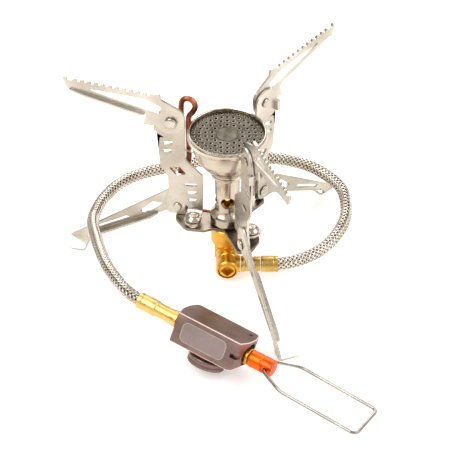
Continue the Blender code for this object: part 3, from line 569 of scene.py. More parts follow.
# braid_wire: strand edges painted darker, a painted shade between the strands.
braid_wire = metal("braid_wire", (0.66, 0.60, 0.52), (0.90, 0.86, 0.80), (0.20, 0.13, 0.08), 0.24,
                   grain_scale=2.5, cloud=0.10, edge_radius=0.07)
braid_shade = metal("braid_shade", (0.035, 0.022, 0.014), (0.07, 0.045, 0.03), (0.05, 0.03, 0.02), 0.6,
                    painted_edge_share=0.0)


def tarnished(name, cloud, detail, stops, fine_scale, depth, polish):
    """A patchy metal with a finely pitted skin."""
    nodes = Nodes(name)
    colour = nodes.ramp(nodes.noise(cloud, detail), stops)
    fine = nodes.noise(fine_scale, 4.0)
    nodes.bump(fine, depth)
    return nodes.finish(colour, nodes.ramp(fine, polish))


def orange_material(name, dark, light):
    """Orange anodising with fine turned lines and a painted highlight on its edges."""
    nodes = Nodes(name)
    clouds = nodes.noise(0.3, 3.0)
    lines = nodes.noise(2.2, 2.0, (0.6, 0.6, 0.6))
    colour = nodes.ramp(clouds, [(0.3, dark), (0.7, light)])
    # Edges painted a paler orange: a painted highlight.
    colour = nodes.mix(nodes.edge(0.3), colour, (0.90, 0.24, 0.04))
    nodes.bump(lines, 0.2)
    return nodes.finish(colour, nodes.ramp(lines, [(0.3, 0.28), (0.7, 0.42)]), 0.75)


def rubber_material():
    nodes = Nodes("black_rubber")
    fine = nodes.noise(1.5, 4.0)
    nodes.bump(fine, 0.3)
    colour = nodes.ramp(fine, [(0.3, (0.012, 0.012, 0.012)), (0.7, (0.03, 0.03, 0.03))])
    return nodes.finish(colour, nodes.ramp(fine, [(0.3, 0.55), (0.7, 0.8)]), 0.0)


copper = tarnished("tinted_copper", 0.16, 4.0, [
    (0.30, (0.13, 0.035, 0.022)), (0.48, (0.33, 0.10, 0.05)), (0.62, (0.50, 0.19, 0.10)),
    (0.80, (0.66, 0.36, 0.22))], 1.4, 0.3, [(0.3, 0.28), (0.7, 0.5)])
scorched = tarnished("scorched_steel", 0.22, 5.0, [
    (0.30, (0.045, 0.036, 0.025)), (0.50, (0.085, 0.073, 0.054)), (0.70, (0.13, 0.118, 0.093))],
    2.2, 0.45, [(0.3, 0.34), (0.7, 0.56)])
# The port lips are painted far lighter than the scorched plate: a painted highlight round each port.
lip_steel = metal("lip_steel", (0.40, 0.36, 0.30), (0.58, 0.53, 0.46), (0.2, 0.16, 0.1), 0.32,
                  painted_edge_share=0.2)
orange = orange_material("orange_anodised", (0.94, 0.115, 0.003), (1.0, 0.18, 0.006))
red_orange = orange_material("fork_anodised", (0.70, 0.07, 0.008), (0.92, 0.13, 0.015))
rubber = rubber_material()


# ---------------------------------------------------------------- supports

def bend_section(centre_n, centre_h, inner, thickness, tail, reach, steps=8):
    """A quarter bend from a sheet standing at low n to one lying at low h."""
    outer = inner + thickness
    angles = [math.pi * (1 + step / steps / 2) for step in range(steps + 1)]
    outside = [(centre_n + outer * math.cos(a), centre_h + outer * math.sin(a)) for a in angles]
    inside = [(centre_n + inner * math.cos(a), centre_h + inner * math.sin(a))
              for a in reversed(angles)]
    return [(centre_n - outer, centre_h + tail), *outside, (centre_n + reach, centre_h - outer),
            (centre_n + reach, centre_h - inner), *inside, (centre_n - inner, centre_h + tail)]


def bracket_mesh():
    """The upright plate with its slots, the bent swivel tab and the small lug at its side."""
    bend_height = TAB_BOTTOM + SHEET + TAB_BEND
    outline = rounded([
        (21.6, 93.2, 6.8), (35.4, 93.2, 6.8), (36.6, 84.0, 1.0), (36.1, 77.1, 1.0),
        (34.5, 57.0, 1.5), (30.5, 50.0, 1.0), (30.5, 41.4, 1.0), (32.1, 36.0, 2.0),
        (31.6, 26.9, 2.5), (21.9, 26.9, 1.0), (21.9, 33.2, 0.7), (20.6, 33.2, 0.6),
        (20.6, bend_height, 0), (12.6, bend_height, 0), (12.6, 53.6, 1.5), (21.6, 62.3, 2.0),
    ])
    window = rounded([
        (30.3, 56.5, 0.8), (24.4, 57.5, 0.8), (20.8, 53.1, 0.8), (26.5, 52.2, 0.8),
    ], 4)
    slots = [stadium(*slot) for slot in (
        ((28.6, 72.2), (32.2, 71.6), 1.9), ((29.2, 67.1), (32.4, 66.6), 1.7),
        ((16.3, 47.2), (21.6, 46.5), 1.6), ((16.3, 42.3), (20.2, 41.8), 1.6),
        ((16.3, 37.5), (19.4, 37.2), 1.6),
    )]
    pins = [circle(*ARM_PIVOT, PIN_HOLE, 24), circle(*LEG_PIVOT, PIN_HOLE, 24)]
    plate = upright(sheet(outline, [window, *slots, *pins]), 0.0)
    tab_start = SHEET / 2 + TAB_BEND
    tab = lifted(sheet(rounded([
        (13.0, tab_start, 0), (20.2, tab_start, 0), (21.2, SWIVEL[1] + 5.2, 5.0),
        (10.8, SWIVEL[1] + 5.2, 5.0),
    ]), [circle(*SWIVEL, SWIVEL_HOLE, 24)]), z=TAB_BOTTOM + SHEET / 2)
    section = bend_section(tab_start, bend_height, TAB_BEND + 0.01, SHEET - 0.02, 1.5, 1.5)
    lug = box((35.4, -2.4, 78.0), (37.8, 0.1, 83.5))
    return combined(plate, [("UNION", swept(section, 12.8, 20.4)), ("UNION", tab), ("UNION", lug)])


def line_point(start, end, distance, offset):
    """A point beside the line from start to end: so far along it, so far to its left."""
    ahead = (Vector(end) - Vector(start)).normalized()
    return tuple(Vector(start) + ahead * distance + Vector((-ahead.y, ahead.x)) * offset)


def flange(start, end, stations, plate_n):
    """The folded edge of a sheet that runs from start to end in (r, h).

    Each station is a distance along that line and how far the flange reaches there.
    """
    rings = []
    for distance, reach in stations:
        section = bend_section(plate_n + 0.92, 1.3, 0.4, 1.1, 0.9, reach - 0.92)
        rings.extend((distance * MM, n * MM, h * MM) for n, h in section)
    mesh = new_mesh(rings, grid_faces(len(stations), len(rings) // len(stations)))
    slope = math.atan2(end[1] - start[1], end[0] - start[0])
    return moved(cleaned(mesh), shift(start[0], 0, start[1]) @ Matrix.Rotation(-slope, 4, "Y"))


def arm_mesh():
    """The toothed arm with its long slot, its stop beak and the flange under its rail."""
    def rail(r):
        return RAIL_H + RAIL_SLOPE * (r - RAIL_R)

    teeth = []
    for index in range(TOOTH_COUNT):
        middle = TOOTH_FIRST + TOOTH_PITCH * index
        for offset, rise, radius in ((-1.15, 0.0, 0.25), (-0.55, 1.35, 0.3), (0.5, 1.35, 0.3),
                                     (1.05, 0.0, 0.25)):
            teeth.append((middle + offset, rail(middle + offset) + rise, radius))
    low, high = (41.0, 88.9), (81.2, 98.5)
    notch = [(*line_point(low, high, distance, offset), 0)
             for distance, offset in ((40.2, 0.0), (40.2, 1.3), (0.9, 1.3), (0.9, 0.0))]
    outline = rounded([
        (34.0, 102.4, 0.5), (38.3, 102.5, 0.3), (RAIL_R + 0.4, RAIL_H, 0.2), *teeth,
        (81.4, rail(81.4), 0.2), (82.0, 105.5, 0.3), (83.9, 105.5, 0.4), (81.2, 98.5, 1.0), *notch,
        (41.0, 88.9, 0.8), (42.7, 82.7, 0.3), (36.2, 82.9, 0.5), (35.4, 79.0, 5.5),
        (21.4, 79.0, 6.6), (21.4, 93.0, 5.5), (27.7, 96.2, 2.0), (33.2, 99.0, 0.5),
    ], 4)
    slot = rounded([
        (72.8, 100.2, 0.3), (41.7, 98.8, 2.0), (33.0, 94.6, 0.8), (34.2, 90.4, 0.8), (36.6, 91.2, 0.6),
    ])
    plate = upright(sheet(outline, [slot, circle(*ARM_PIVOT, PIN_HOLE, 24)]), SHEET + GAP)
    edge = flange(low, high, ((0.9, 1.5), (3.0, 2.4), (32.0, 2.4), (40.2, 1.5)), SHEET + GAP)
    return combined(plate, [("UNION", edge)])


def leg_mesh():
    """The tapered leg with its two truss slots, its flange and its bent foot."""
    high, low = (32.3, 26.8), (74.2, 2.8)
    notch = [(*line_point(high, low, distance, offset), 0)
             for distance, offset in ((5.0, 0.0), (5.0, 1.3), (45.6, 1.3), (45.6, 0.0))]
    outline = rounded([
        (27.0, 43.6, 2.5), (21.4, 39.2, 4.0), (21.3, 27.0, 4.2), (*high, 1.0), *notch, (*low, 1.0),
        (75.0, 0.3, 0), (82.6, 0.3, 0), (84.0, 1.0, 0.4), (67.1, 13.3, 2.0),
    ])
    slots = [
        rounded([(47.0, 23.3, 0.8), (39.4, 31.3, 0.8), (32.8, 31.6, 0.8), (41.0, 23.9, 0.8)], 4),
        rounded([(50.0, 18.9, 0.5), (53.6, 19.4, 0.5), (69.5, 9.9, 0.5), (67.5, 8.7, 0.5)], 4),
    ]
    offset = -(SHEET + GAP)
    plate = upright(sheet(outline, [*slots, circle(*LEG_PIVOT, PIN_HOLE, 24)]), offset)
    foot = lifted(sheet(rounded([
        (73.2, offset, 0), (81.8, offset, 0), (81.4, 9.2, 1.6), (73.6, 9.2, 1.6),
    ]), []), z=SHEET / 2)
    edge = flange(high, low, ((5.0, 1.5), (9.0, 3.8), (43.0, 3.8), (45.6, 3.2)), offset)
    return combined(plate, [("UNION", edge), ("UNION", foot)])


def rivet_mesh(head_radius, head_height, pin, grip, tail_radius, tail_height, edge, side):
    """A rivet along Z: its head stands on z = 0 and its tail hangs below the grip."""
    return turned([
        (0.0, head_height), (head_radius * edge, head_height * 0.96, 1.0),
        (head_radius, head_height * side), (head_radius, 0.0), (pin, 0.0), (pin, -grip),
        (tail_radius, -grip), (tail_radius * 0.8, -grip - tail_height), (0.0, -grip - tail_height),
    ], 32)


def build_supports():
    bracket, arm, leg = bracket_mesh(), arm_mesh(), leg_mesh()
    grip = 2 * SHEET + 3 * GAP
    stack = TAB_BOTTOM + SHEET + GAP
    arm_rivet = rivet_mesh(3.2, 1.6, 1.7, grip, 2.6, 0.6, 0.8, 0.7)
    leg_rivet = rivet_mesh(3.0, 1.0, 1.7, grip, 2.4, 0.6, 0.7, 0.4)
    swivel_rivet = rivet_mesh(4.2, 2.6, 2.0, stack - PLATE_BOTTOM + GAP, 2.8, 1.0, 0.6, 0.3)
    washer = turned([
        (3.4, TAB_BOTTOM - GAP), (3.4, PLATE_TOP + GAP), (SWIVEL_HOLE, PLATE_TOP + GAP),
        (SWIVEL_HOLE, TAB_BOTTOM - GAP),
    ], 36, hollow=True)
    stand_off = 1.5 * SHEET + 2 * GAP
    for side, place in SUPPORTS.items():
        support = f"support_{side}"
        for name, mesh, body, bevel in (("bracket", bracket, support, 0.16),
                                        ("pot_arm", arm, f"arm_{side}", 0.0),
                                        ("leg", leg, f"leg_{side}_body", 0.0)):
            node = f"{name}_{side}"
            show(f"{node}_sheet", mesh, sheet_steel, body, [node], place, bevel)
        for name, mesh, body, where in (
                ("arm_rivet", arm_rivet, support,
                 shift(ARM_PIVOT[0], stand_off, ARM_PIVOT[1]) @ ALONG_MINUS_Y.inverted()),
                ("leg_rivet", leg_rivet, support,
                 shift(LEG_PIVOT[0], -stand_off, LEG_PIVOT[1]) @ ALONG_MINUS_Y),
                ("swivel_rivet", swivel_rivet, "stove_base", shift(*SWIVEL, stack)),
                ("swivel_washer", washer, "stove_base", shift(*SWIVEL))):
            node = f"{name}_{side}"
            show(f"{node}_turned", mesh, pin_steel, body, [node], place @ where)


# ---------------------------------------------------------------- burner

def build_base_plate():
    lobe = ((3.2, -8.6, 3.0), (7.0, -4.0, 1.5), (25.5, -3.6, 2.5), (27.0, 3.0, 5.0),
            (19.5, 10.9, 5.0), (10.0, 10.2, 2.0))
    corners, holes = [], [circle(0, 0, 5.2, 40)]
    order = sorted(SUPPORTS.values(), key=lambda place: math.atan2(place[1][0], place[0][0]))
    for place in order:
        turn = place.to_3x3()
        for r, n, radius in lobe:
            corners.append((*(turn @ Vector((r, n, 0))).xy, radius))
        holes.append(circle(*(turn @ Vector((*SWIVEL, 0))).xy, SWIVEL_HOLE, 24))
    mesh = lifted(sheet(rounded(corners), holes, PLATE_TOP - PLATE_BOTTOM),
                  z=(PLATE_TOP + PLATE_BOTTOM) / 2)
    show("base_plate_sheet", mesh, dark_steel, "stove_base", ["base_plate"], bevel=0.2)


def build_tube_and_cup():
    tube = turned([
        (6.3, 60.0), (6.3, 36.4), (6.7, 34.8), (7.9, 33.6), (8.65, 32.4), (8.65, 28.6),
        (8.2, 27.6), (7.8, PLATE_TOP + GAP), (6.6, PLATE_TOP + GAP), (5.5, 31.0), (5.5, 60.0),
    ], 64, hollow=True)
    holes = []
    for index in range(2):
        turn = Matrix.Rotation(math.radians(-87.0 + 90 * index), 4, "Z")
        holes.append(("DIFFERENCE", rod(3.5, -12.0, 12.0, 40, shift(z=42.5) @ turn @ ALONG_X)))
    show("mixing_tube_turned", combined(tube, holes), polished_steel, "stove_base", ["mixing_tube"],
         bevel=0.12)
    cup = turned([
        (19.0, 84.0), (19.8, 83.7), (20.2, 83.0), (20.2, 80.8), (19.4, 80.0), (18.6, 79.6),
        (18.5, 78.6), (18.1, 76.5), (17.3, 73.6), (16.2, 70.6), (14.5, 67.3), (12.6, 64.6),
        (10.6, 62.3), (9.2, 61.2), (8.5, 60.4), (8.4, 59.6), (7.7, 59.2), (7.7, 58.8), (8.2, 58.5),
        (8.3, 57.9), (8.2, 57.2), (7.4, 56.6), (6.6, 56.6), (6.6, 61.4), (8.6, 62.6), (11.8, 65.8),
        (15.3, 71.6), (17.1, 77.0), (17.1, 80.4), (18.7, 80.4), (18.7, 83.7),
    ], 72, hollow=True)
    show("burner_cup_turned", cup, polished_steel, "stove_base", ["burner_cup"])


def build_flame_plate():
    """Punched plate with raised lips round its ports and a plain dished middle."""
    lips, ports = [], []
    for radius, count, port in ((7.7, 14, 0.86), (11.0, 22, 0.84), (14.1, 30, 0.80), (17.0, 38, 0.66)):
        for index in range(count):
            angle = TAU * (index + 0.5 * (count % 4 == 2)) / count
            x, y = radius * math.cos(angle), radius * math.sin(angle)
            ports.append(circle(x, y, port, 10))
            lip = turned([(port + 0.34, -0.04), (port + 0.2, 0.22), (port + 0.02, 0.26), (port, -0.04)],
                         10, hollow=True, soft=0)
            lips.append(lifted(lip, x, y, FLAME_PLATE_TOP))
    plate = lifted(sheet(circle(0, 0, 18.4, 72), ports), z=FLAME_PLATE_TOP - SHEET / 2)
    dish = turned([
        (5.6, 0.02), (5.3, 0.24), (4.4, 0.10), (2.4, 0.04), (0.9, 0.10), (0.0, 0.16), (0.0, -0.3),
        (5.6, -0.3),
    ], 48, soft=0.1)
    dish = lifted(dish, z=FLAME_PLATE_TOP)
    show("flame_plate_punched", plate, scorched, "stove_base", ["flame_plate"])
    # The lips are painted lighter than the plate, a painted highlight round each port.
    show("flame_plate_lips", joined(lips), lip_steel, "stove_base")
    show("flame_plate_dish", dish, scorched, "stove_base")


def build_jet_block():
    collar = turned([
        (0.0, 30.5), (4.7, 30.5), (4.7, 24.7), (7.5, 24.7), (8.2, 24.0), (8.2, 14.8, 0.6), (5.2, 10.4),
        (0.0, 10.4),
    ], 72)
    hexagon = turned([(0.0, 18.0), (6.9, 18.0), (6.9, 4.8), (5.9, 3.4), (0.0, 3.4)], 6,
                     Matrix.Rotation(math.radians(22.0), 4, "Z"), soft=0)
    front = shift(z=STEM_Z) @ ALONG_MINUS_Y
    boss = turned([(0.0, BOSS_END), (4.9, BOSS_END), (5.7, BOSS_END - 0.9), (5.7, 12.4), (5.3, 12.0),
                   (5.3, 11.2), (5.7, 10.8), (5.7, 0.0), (0.0, 0.0)], 48, front)
    arm = shift(0, STEM_Y, STEM_Z) @ ALONG_X
    port = rod(4.3, 0.0, 6.6, 40, arm)
    bore = rod(4.6, BOSS_END - 5.0, BOSS_END + 2.0, 40, front)
    mesh = combined(collar, [("UNION", hexagon), ("UNION", boss), ("UNION", port), ("DIFFERENCE", bore)])
    show("jet_block_machined", mesh, brass, "stove_base", ["jet_block"], bevel=0.12)
    plug = turned([(0.0, 18.3), (3.9, 18.3), (4.3, 17.9), (4.3, 13.8), (0.0, 13.8)], 40, front)
    square = box((-2.5, -2.5, 14.9), (2.5, 2.5, 21.0), front @ Matrix.Rotation(math.pi / 4, 4, "Z"))
    show("block_plug_machined", combined(plug, [("DIFFERENCE", square)]), brass, "stove_base",
         ["block_plug"], bevel=0.12)
    stem = turned([(0.0, 16.9), (3.85, 16.9), (3.85, 13.6), (3.4, 13.3), (3.4, 12.6), (3.85, 12.3),
                   (3.85, 8.8), (4.2, 8.4), (4.2, 6.9), (0.0, 6.9)], 40, arm)
    show("hose_stem_turned", stem, dull_brass, "stove_base", ["hose_stem"])


# ---------------------------------------------------------------- hose

def ferrule_points(floor, end, shoulder):
    """A crimped ferrule along Z from the floor of its bore round to its shoulder."""
    bore, skin, waist = HOSE_RADIUS + GAP, FERRULE_RADIUS, FERRULE_RADIUS - 0.2
    return [
        (0.0, floor), (bore, floor), (bore, end), (skin - 0.1, end), (skin, end - 0.3),
        (skin, end - 1.6), (waist, end - 1.9), (waist, end - 2.3), (skin, end - 2.6),
        (skin, shoulder + 0.4), (skin - 0.35, shoulder),
    ]


def build_hose():
    waypoints = (
        (37.0, -9.4, 8.5), (46.6, -3.2, 8.8), (54.8, 6.8, 9.4), (61.4, 23.0, 10.4),
        (60.8, 42.0, 11.4), (52.8, 54.6, 12.2), (40.0, 64.0, 12.8), (22.0, 68.4, 13.4),
        (0.0, 68.2, 13.6), (-26.0, 61.8, 13.6), (-49.0, 52.8, 13.4), (-62.0, 38.6, 13.6),
        (-69.0, 17.0, 15.0), (-66.6, -7.0, 19.9), (-61.4, -27.6, 21.6),
        (-54.9, -42.4, 22.6), (-49.4, -51.0, 22.7),
    )
    arm = shift(0, STEM_Y, STEM_Z) @ ALONG_X
    burner_end = turned([*ferrule_points(18.4, 26.0, 17.2), (0.0, 17.2)], 48, arm, soft=0.3)
    show("burner_ferrule_crimped", burner_end, dull_brass, "stove_base", ["burner_ferrule"])
    reach, neck = -VALVE_FERRULE_END, -VALVE_FERRULE_START
    valve_end = turned([
        *ferrule_points(reach - 8.0, reach, neck + 12.6), (3.72, neck + 11.8, 1.0),
        (3.68, neck + 8.0, 1.0), (3.85, neck + 4.0, 1.0), (4.3, neck + 1.4, 1.0), (4.3, neck),
        (0.0, neck),
    ], 48, soft=0.3)
    show("valve_ferrule_crimped", valve_end, pale_brass, "stove_base", ["valve_ferrule"],
         VALVE_LINE @ ALONG_X.inverted())
    to_stove = STOVE.inverted() @ VALVE_LINE
    arrival = [to_stove @ Vector(((VALVE_FERRULE_END + inset) * MM, 0, 0)) / MM
               for inset in (0.0, 7.5, 15.0)]
    departure = [(x, STEM_Y, STEM_Z) for x in (10.0, 18.8, 27.5)]
    path = smooth_path([*departure, *waypoints, *arrival], 16)
    under = wire(path, HOSE_RADIUS - 0.5, 1.6, 24)
    show("braided_hose_core", under, braid_shade, "stove_base", ["braided_hose", "hose_liner"])
    show("braided_hose_strands", braid(path), braid_wire, "stove_base")


def braid(path, strands=8, pitch=19.0, lift=0.20):
    """Flat strands wound both ways round the path, each passing over two and under two."""
    stations, places, side, up = path_frames(path, 0.6)
    middle, half_width, thickness = HOSE_RADIUS - 0.28, 0.45, 0.22
    profile = [(-half_width, -thickness / 2), (half_width, -thickness / 2), (half_width * 0.92, 0.02),
               (half_width * 0.45, thickness / 2), (0.0, thickness * 0.32),
               (-half_width * 0.45, thickness / 2), (-half_width * 0.92, 0.02)]
    slant = math.cos(math.atan2(TAU * middle, pitch))
    vertices, faces = [], []
    for way in (1, -1):
        for strand in range(strands):
            turn = TAU * strand / strands + way * TAU * stations / pitch
            weave = math.pi * strands * stations / pitch
            height = way * lift * np.cos(way * weave + math.pi * strand + math.pi / 4)
            first = len(vertices)
            rings = np.zeros((len(stations), len(profile), 3))
            for index, (across, rise) in enumerate(profile):
                radius = middle + height + rise
                angle = turn + across / slant / middle
                rings[:, index] = places + radius[:, None] * (
                    np.cos(angle)[:, None] * side + np.sin(angle)[:, None] * up)
            vertices.extend((rings.reshape(-1, 3) * MM).tolist())
            faces.extend(grid_faces(len(stations), len(profile), first))
    return cleaned(new_mesh(vertices, faces), weld=False)


def build_preheat_tube():
    loop = [
        (7.9, -3.5, 17.4), (11.0, -5.0, 17.6), (15.0, -6.0, 19.4), (20.0, -6.0, 23.5),
        (24.0, -6.0, 29.0), (25.6, -6.0, 37.0), (25.6, -6.0, 50.0), (25.0, -6.0, 60.0),
        (25.0, -6.0, 80.0), (25.0, -6.0, 90.0), (24.3, -6.0, 94.6), (21.6, -6.0, 96.4),
        (18.6, -6.0, 94.8), (17.8, -6.0, 91.6), (19.2, -6.0, 88.2), (21.2, -6.0, 84.0),
        (21.2, -6.0, 70.0), (21.2, -6.0, 60.0), (22.4, -7.2, 53.0), (25.4, -9.3, 44.0),
        (26.0, -9.4, 36.0), (24.4, -9.4, 28.5), (20.0, -9.6, 23.4), (14.5, -10.2, 21.6),
        (8.6, -10.2, 21.3), (5.3, -7.1, 21.0),
    ]
    start = Vector(loop[0]) * 2 - Vector(loop[1])
    end = Vector(loop[-1]) * 2 - Vector(loop[-2])
    show("preheat_tube_bent", wire(smooth_path([start, *loop, end], 8), 1.45), copper, "stove_base",
         ["preheat_tube"], SUPPORTS["left"])


# ---------------------------------------------------------------- valve

def build_valve_body():
    bow = BODY_DEPTH / 3
    outline = rounded([
        (BODY_LEFT, BODY_DEPTH, 2.5), (BODY_LEFT - BODY_BULGE, bow, 8.0),
        (BODY_LEFT - BODY_BULGE, -bow, 8.0), (BODY_LEFT, -BODY_DEPTH, 0.6),
        (BODY_RIGHT, -BODY_DEPTH, 0.6), (BODY_RIGHT + BODY_BULGE, -bow, 8.0),
        (BODY_RIGHT + BODY_BULGE, bow, 8.0), (BODY_RIGHT, BODY_DEPTH, 3.0),
    ], 8)
    bar = lifted(sheet(outline, [], BODY_TOP - BODY_BOTTOM + 1.0), z=(BODY_TOP + BODY_BOTTOM - 1.0) / 2)
    side = upright(sheet(rounded([
        (-30.0, BODY_BOTTOM, 0), (BODY_RIGHT + 2.4, BODY_BOTTOM, 6.0), (BODY_RIGHT + 2.4, 30.0, 0),
        (-30.0, 30.0, 0),
    ], 10), [], 40.0), 0.0)
    line = shift(z=VALVE_AXIS) @ ALONG_X
    bar = edged(combined(bar, [("INTERSECT", side)]), 0.42)
    steps = [
        ("DIFFERENCE", rod(6.5, 17.0, 26.0, 48, line)),
        ("DIFFERENCE", rod(2.4, 2.0, 20.0, 24, line)),
        ("DIFFERENCE", rod(1.6, 4.0, VALVE_AXIS, 24)),
        ("DIFFERENCE", box((14.2, -13.0, 13.5), (24.0, -7.2, 15.7))),
        ("DIFFERENCE", lifted(rod(1.1, -3.0, 2.0, 24), 15.2, 5.6, BODY_TOP)),
    ]
    # Its bevels take the painted edge highlight.
    show("valve_body_milled", combined(bar, steps), anodised, "stove_base", ["valve_body"],
         VALVE, 0.0, [edge_highlight])
    low, high, corner = (-13.8, 9.2), (11.4, 19.8), 3.2

    def frame_line(inset):
        left, bottom, right, top = (low[0] + inset, low[1] + inset, high[0] - inset, high[1] - inset)
        return rounded([(x, z, corner - inset) for x, z in (
            (left, bottom), (right, bottom), (right, top), (left, top))], 8)

    border = upright(sheet(frame_line(0.0), [frame_line(0.45)], 0.12), -BODY_DEPTH + 0.02)
    field = upright(sheet(frame_line(0.5), [], 0.08), -BODY_DEPTH + 0.02)
    show("valve_body_border", border, etched, "stove_base", place=VALVE)
    show("valve_body_panel", field, panel_metal, "stove_base", place=VALVE)


def build_collar():
    top = BODY_BOTTOM - GAP
    grip = turned([
        (7.4, top), (7.4, 4.9), (7.9, 4.6), (9.2, 4.4), (9.6, 3.9), (9.6, 2.6), (9.3, 2.4), (9.3, 1.9),
        (9.6, 1.7), (9.6, 0.5), (9.2, 0.0), (6.0, 0.0), (5.6, 0.5), (5.6, 5.0), (2.2, 5.0), (2.2, top),
    ], 96, hollow=True, scallop=(48, 0.12, 0.9, 3.6))
    show("canister_collar_turned", grip, anodised, "stove_base", ["canister_collar"], VALVE)


def build_control():
    nut = turned([
        (2.0, KNOB_START - GAP), (4.0, KNOB_START - GAP), (4.3, KNOB_START - 0.6), (4.3, 17.3),
        (2.0, 17.3),
    ], 48, hollow=True)
    show("gland_nut_turned", nut, brass, "stove_base", ["gland_nut"], VALVE_LINE @ ALONG_X)
    flat = valve_x.normalized()
    bail_axis = Vector(joints["bail_fold"]["axis"]).normalized()
    spindle = frame_matrix(Vector(joints["knob_turn"]["pos_m"]), flat, flat.cross(bail_axis))
    grip = turned([
        (0.0, KNOB_END), (KNOB_RADIUS - 0.4, KNOB_END), (KNOB_RADIUS, KNOB_END - 0.4),
        (KNOB_RADIUS, 28.0), (KNOB_RADIUS - 0.2, 27.8), (KNOB_RADIUS - 0.2, 27.5), (KNOB_RADIUS, 27.3),
        (KNOB_RADIUS, KNOB_START + 0.5), (KNOB_RADIUS - 0.5, KNOB_START), (1.9, KNOB_START),
        (1.9, 27.0), (0.0, 27.0),
    ], 64, ALONG_X, soft=0.12)
    steps = [("DIFFERENCE", box((28.4, 3.3, -6.0), (KNOB_END + 2, 8.0, 6.0))),
             ("DIFFERENCE", box((28.4, -8.0, -6.0), (KNOB_END + 2, -3.3, 6.0))),
             ("DIFFERENCE", rod(1.2, -8.0, 8.0, 24, shift(31.0) @ ALONG_MINUS_Y))]
    knob = combined(grip, steps)
    knob.materials.clear()
    knob.materials.append(orange)
    for polygon in knob.polygons:
        polygon.material_index = 1 if polygon.center.x > 28.3 * MM else 0
    piece = show("control_knob_turned", knob, orange, "knob", ["control_knob"],
                 spindle, 0.0, [red_orange])
    bevelled(piece, 0.18, 50)


def build_bail():
    """The wire bail: a narrow neck in the knob, two long sides and a rounded far end."""
    across = Vector(joints["bail_fold"]["axis"]).normalized()
    low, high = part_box("wire_bail")
    tip = (low + high) / 2 - Vector(joints["bail_fold"]["pos_m"])
    ahead = (tip - across * tip.dot(across)).normalized()
    place = frame_matrix(joints["bail_fold"]["pos_m"], ahead, ahead.cross(across))
    half = [(0.0, 1.4), (0.0, 3.6), (0.6, 4.8), (2.0, 5.6), (BAIL_BEND - 1.0, BAIL_HALF_WIDTH - 0.5),
            (BAIL_BEND + 1.5, BAIL_HALF_WIDTH)]
    corner = [(BAIL_LENGTH - 3.0 * (1 - math.sin(angle)), BAIL_HALF_WIDTH - 3.0 * (1 - math.cos(angle)))
              for angle in (math.pi / 2 * step / 8 for step in range(9))]
    near = [(x, -y, 0.0) for x, y in softened([*half, (BAIL_LENGTH - 8.0, BAIL_HALF_WIDTH)], 1.2, 4)]
    far = [(x, -y, 0.0) for x, y in corner]
    path = [*near, *far, *[(x, -y, z) for x, y, z in reversed([*near, *far])]]
    show("wire_bail_bent", wire([Vector(point) for point in path], BAIL_WIRE, 0.5), wire_steel, "bail",
         ["wire_bail"], place)


def dress_cad_nodes():
    """Materials for the CAD nodes that stay, most of them inside."""
    finishes = {"jet": brass, "preheat_strap": sheet_steel, "collar_seal": rubber,
                "canister_pin": brass, "valve_needle": pin_steel}
    for name, material in finishes.items():
        node = frame["nodes"][name]
        node.data.materials.clear()
        node.data.materials.append(material)
        for polygon in node.data.polygons:
            polygon.use_smooth = False


# ---------------------------------------------------------------- stage

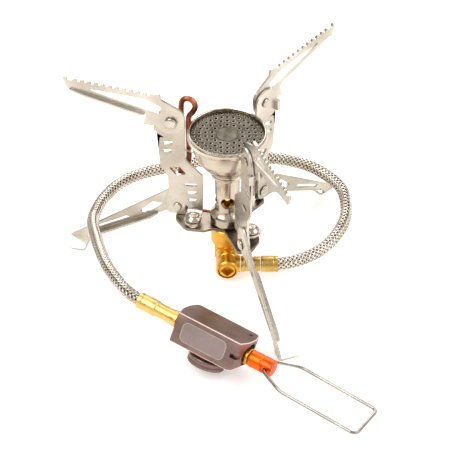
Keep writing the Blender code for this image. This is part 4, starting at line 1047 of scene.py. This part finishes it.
def build_stage():
    """A pale floor, soft lamps, a softly banded surround and the camera."""
    half = 3.0
    mesh = new_mesh([(-half, -half, 0), (half, -half, 0), (half, half, 0), (-half, half, 0)],
                    [(0, 1, 2, 3)])
    floor = bpy.data.objects.new("floor", mesh)
    scene.collection.objects.link(floor)
    nodes = Nodes("floor_paper")
    fine = nodes.noise(0.02, 2.0)
    colour = nodes.ramp(fine, [(0.3, 0.78), (0.7, 0.82)])
    nodes.finish(colour, 0.9, 0.0)
    nodes.shader.inputs["Specular IOR Level"].default_value = 0.1
    nodes.shader.inputs["Emission Color"].default_value = (1.0, 1.0, 1.0, 1.0)
    nodes.shader.inputs["Emission Strength"].default_value = 0.45
    paper = nodes.add("ShaderNodeBsdfDiffuse", Color=(0.86, 0.82, 0.76, 1.0))
    glow = nodes.add("ShaderNodeEmission", Color=(1.0, 0.96, 0.90, 1.0), Strength=0.32)
    seen_in_metal = nodes.add("ShaderNodeAddShader")
    nodes.link(paper.outputs[0], seen_in_metal.inputs[0])
    nodes.link(glow.outputs[0], seen_in_metal.inputs[1])
    ray = nodes.add("ShaderNodeLightPath")
    choice = nodes.add("ShaderNodeMixShader")
    nodes.link(ray.outputs["Is Camera Ray"], choice.inputs[0])
    nodes.link(seen_in_metal.outputs[0], choice.inputs[1])
    nodes.link(nodes.shader.outputs[0], choice.inputs[2])
    nodes.link(choice.outputs[0], nodes.tree.nodes["Material Output"].inputs["Surface"])
    mesh.materials.append(nodes.owner)

    surround = Nodes("surround", bpy.data.worlds, "Background")
    split = surround.add("ShaderNodeSeparateXYZ")
    surround.link(surround.add("ShaderNodeTexCoord").outputs["Generated"], split.inputs[0])
    azimuth = surround.add("ShaderNodeMath", operation="ARCTAN2")
    surround.link(split.outputs["Y"], azimuth.inputs[0])
    surround.link(split.outputs["X"], azimuth.inputs[1])
    turn = surround.add("ShaderNodeMath", operation="MULTIPLY")
    turn.inputs[1].default_value = 2.3
    surround.link(azimuth.outputs[0], turn.inputs[0])
    waves = surround.add("ShaderNodeTexNoise", noise_dimensions="1D", Scale=1.3, Detail=1.5)
    surround.link(turn.outputs[0], waves.inputs["W"])
    bands = surround.ramp(waves.outputs["Fac"], [
        (0.40, (0.05, 0.036, 0.026)), (0.48, (0.30, 0.25, 0.20)), (0.57, (0.95, 0.92, 0.87)),
        (0.72, (0.55, 0.49, 0.42))])
    surround.link(bands, surround.shader.inputs["Color"])
    surround.shader.inputs["Strength"].default_value = 1.2
    scene.world = surround.owner

    for name, place, size, power, tone in (
            ("key", (-0.60, -0.45, 1.05), 0.80, 9.0, (1.0, 0.985, 0.96)),
            ("fill", (0.95, -0.25, 0.75), 0.80, 5.0, (1.0, 0.97, 0.93)),
            ("back", (0.10, 0.95, 0.85), 0.90, 8.0, (1.0, 1.0, 1.0)),
    ):
        lamp = bpy.data.lights.new(name, "AREA")
        lamp.size = size
        lamp.energy = power
        lamp.color = tone
        holder = bpy.data.objects.new(name, lamp)
        holder.location = centre + Vector(place)
        aim = centre + Vector((0, 0, 0.03)) - holder.location
        holder.rotation_euler = aim.to_track_quat("-Z", "Y").to_euler()
        scene.collection.objects.link(holder)

    elevation, distance = math.radians(39.54), 1.5
    target = centre + Vector((-0.00062, 0.0, 0.023))
    lens = bpy.data.cameras.new("camera")
    lens.sensor_width = 36.0
    lens.lens = 234.1
    lens.clip_end = 10.0
    camera = bpy.data.objects.new("camera", lens)
    camera.location = target + Vector((0, -math.cos(elevation), math.sin(elevation))) * distance
    camera.rotation_euler = Euler((math.pi / 2 - elevation, 0, 0))
    scene.collection.objects.link(camera)
    scene.camera = camera
    scene.view_settings.view_transform = "Standard"


build_supports()
build_base_plate()
build_tube_and_cup()
build_flame_plate()
build_jet_block()
build_hose()
build_preheat_tube()
build_valve_body()
build_collar()
build_control()
build_bail()
dress_cad_nodes()
build_stage()
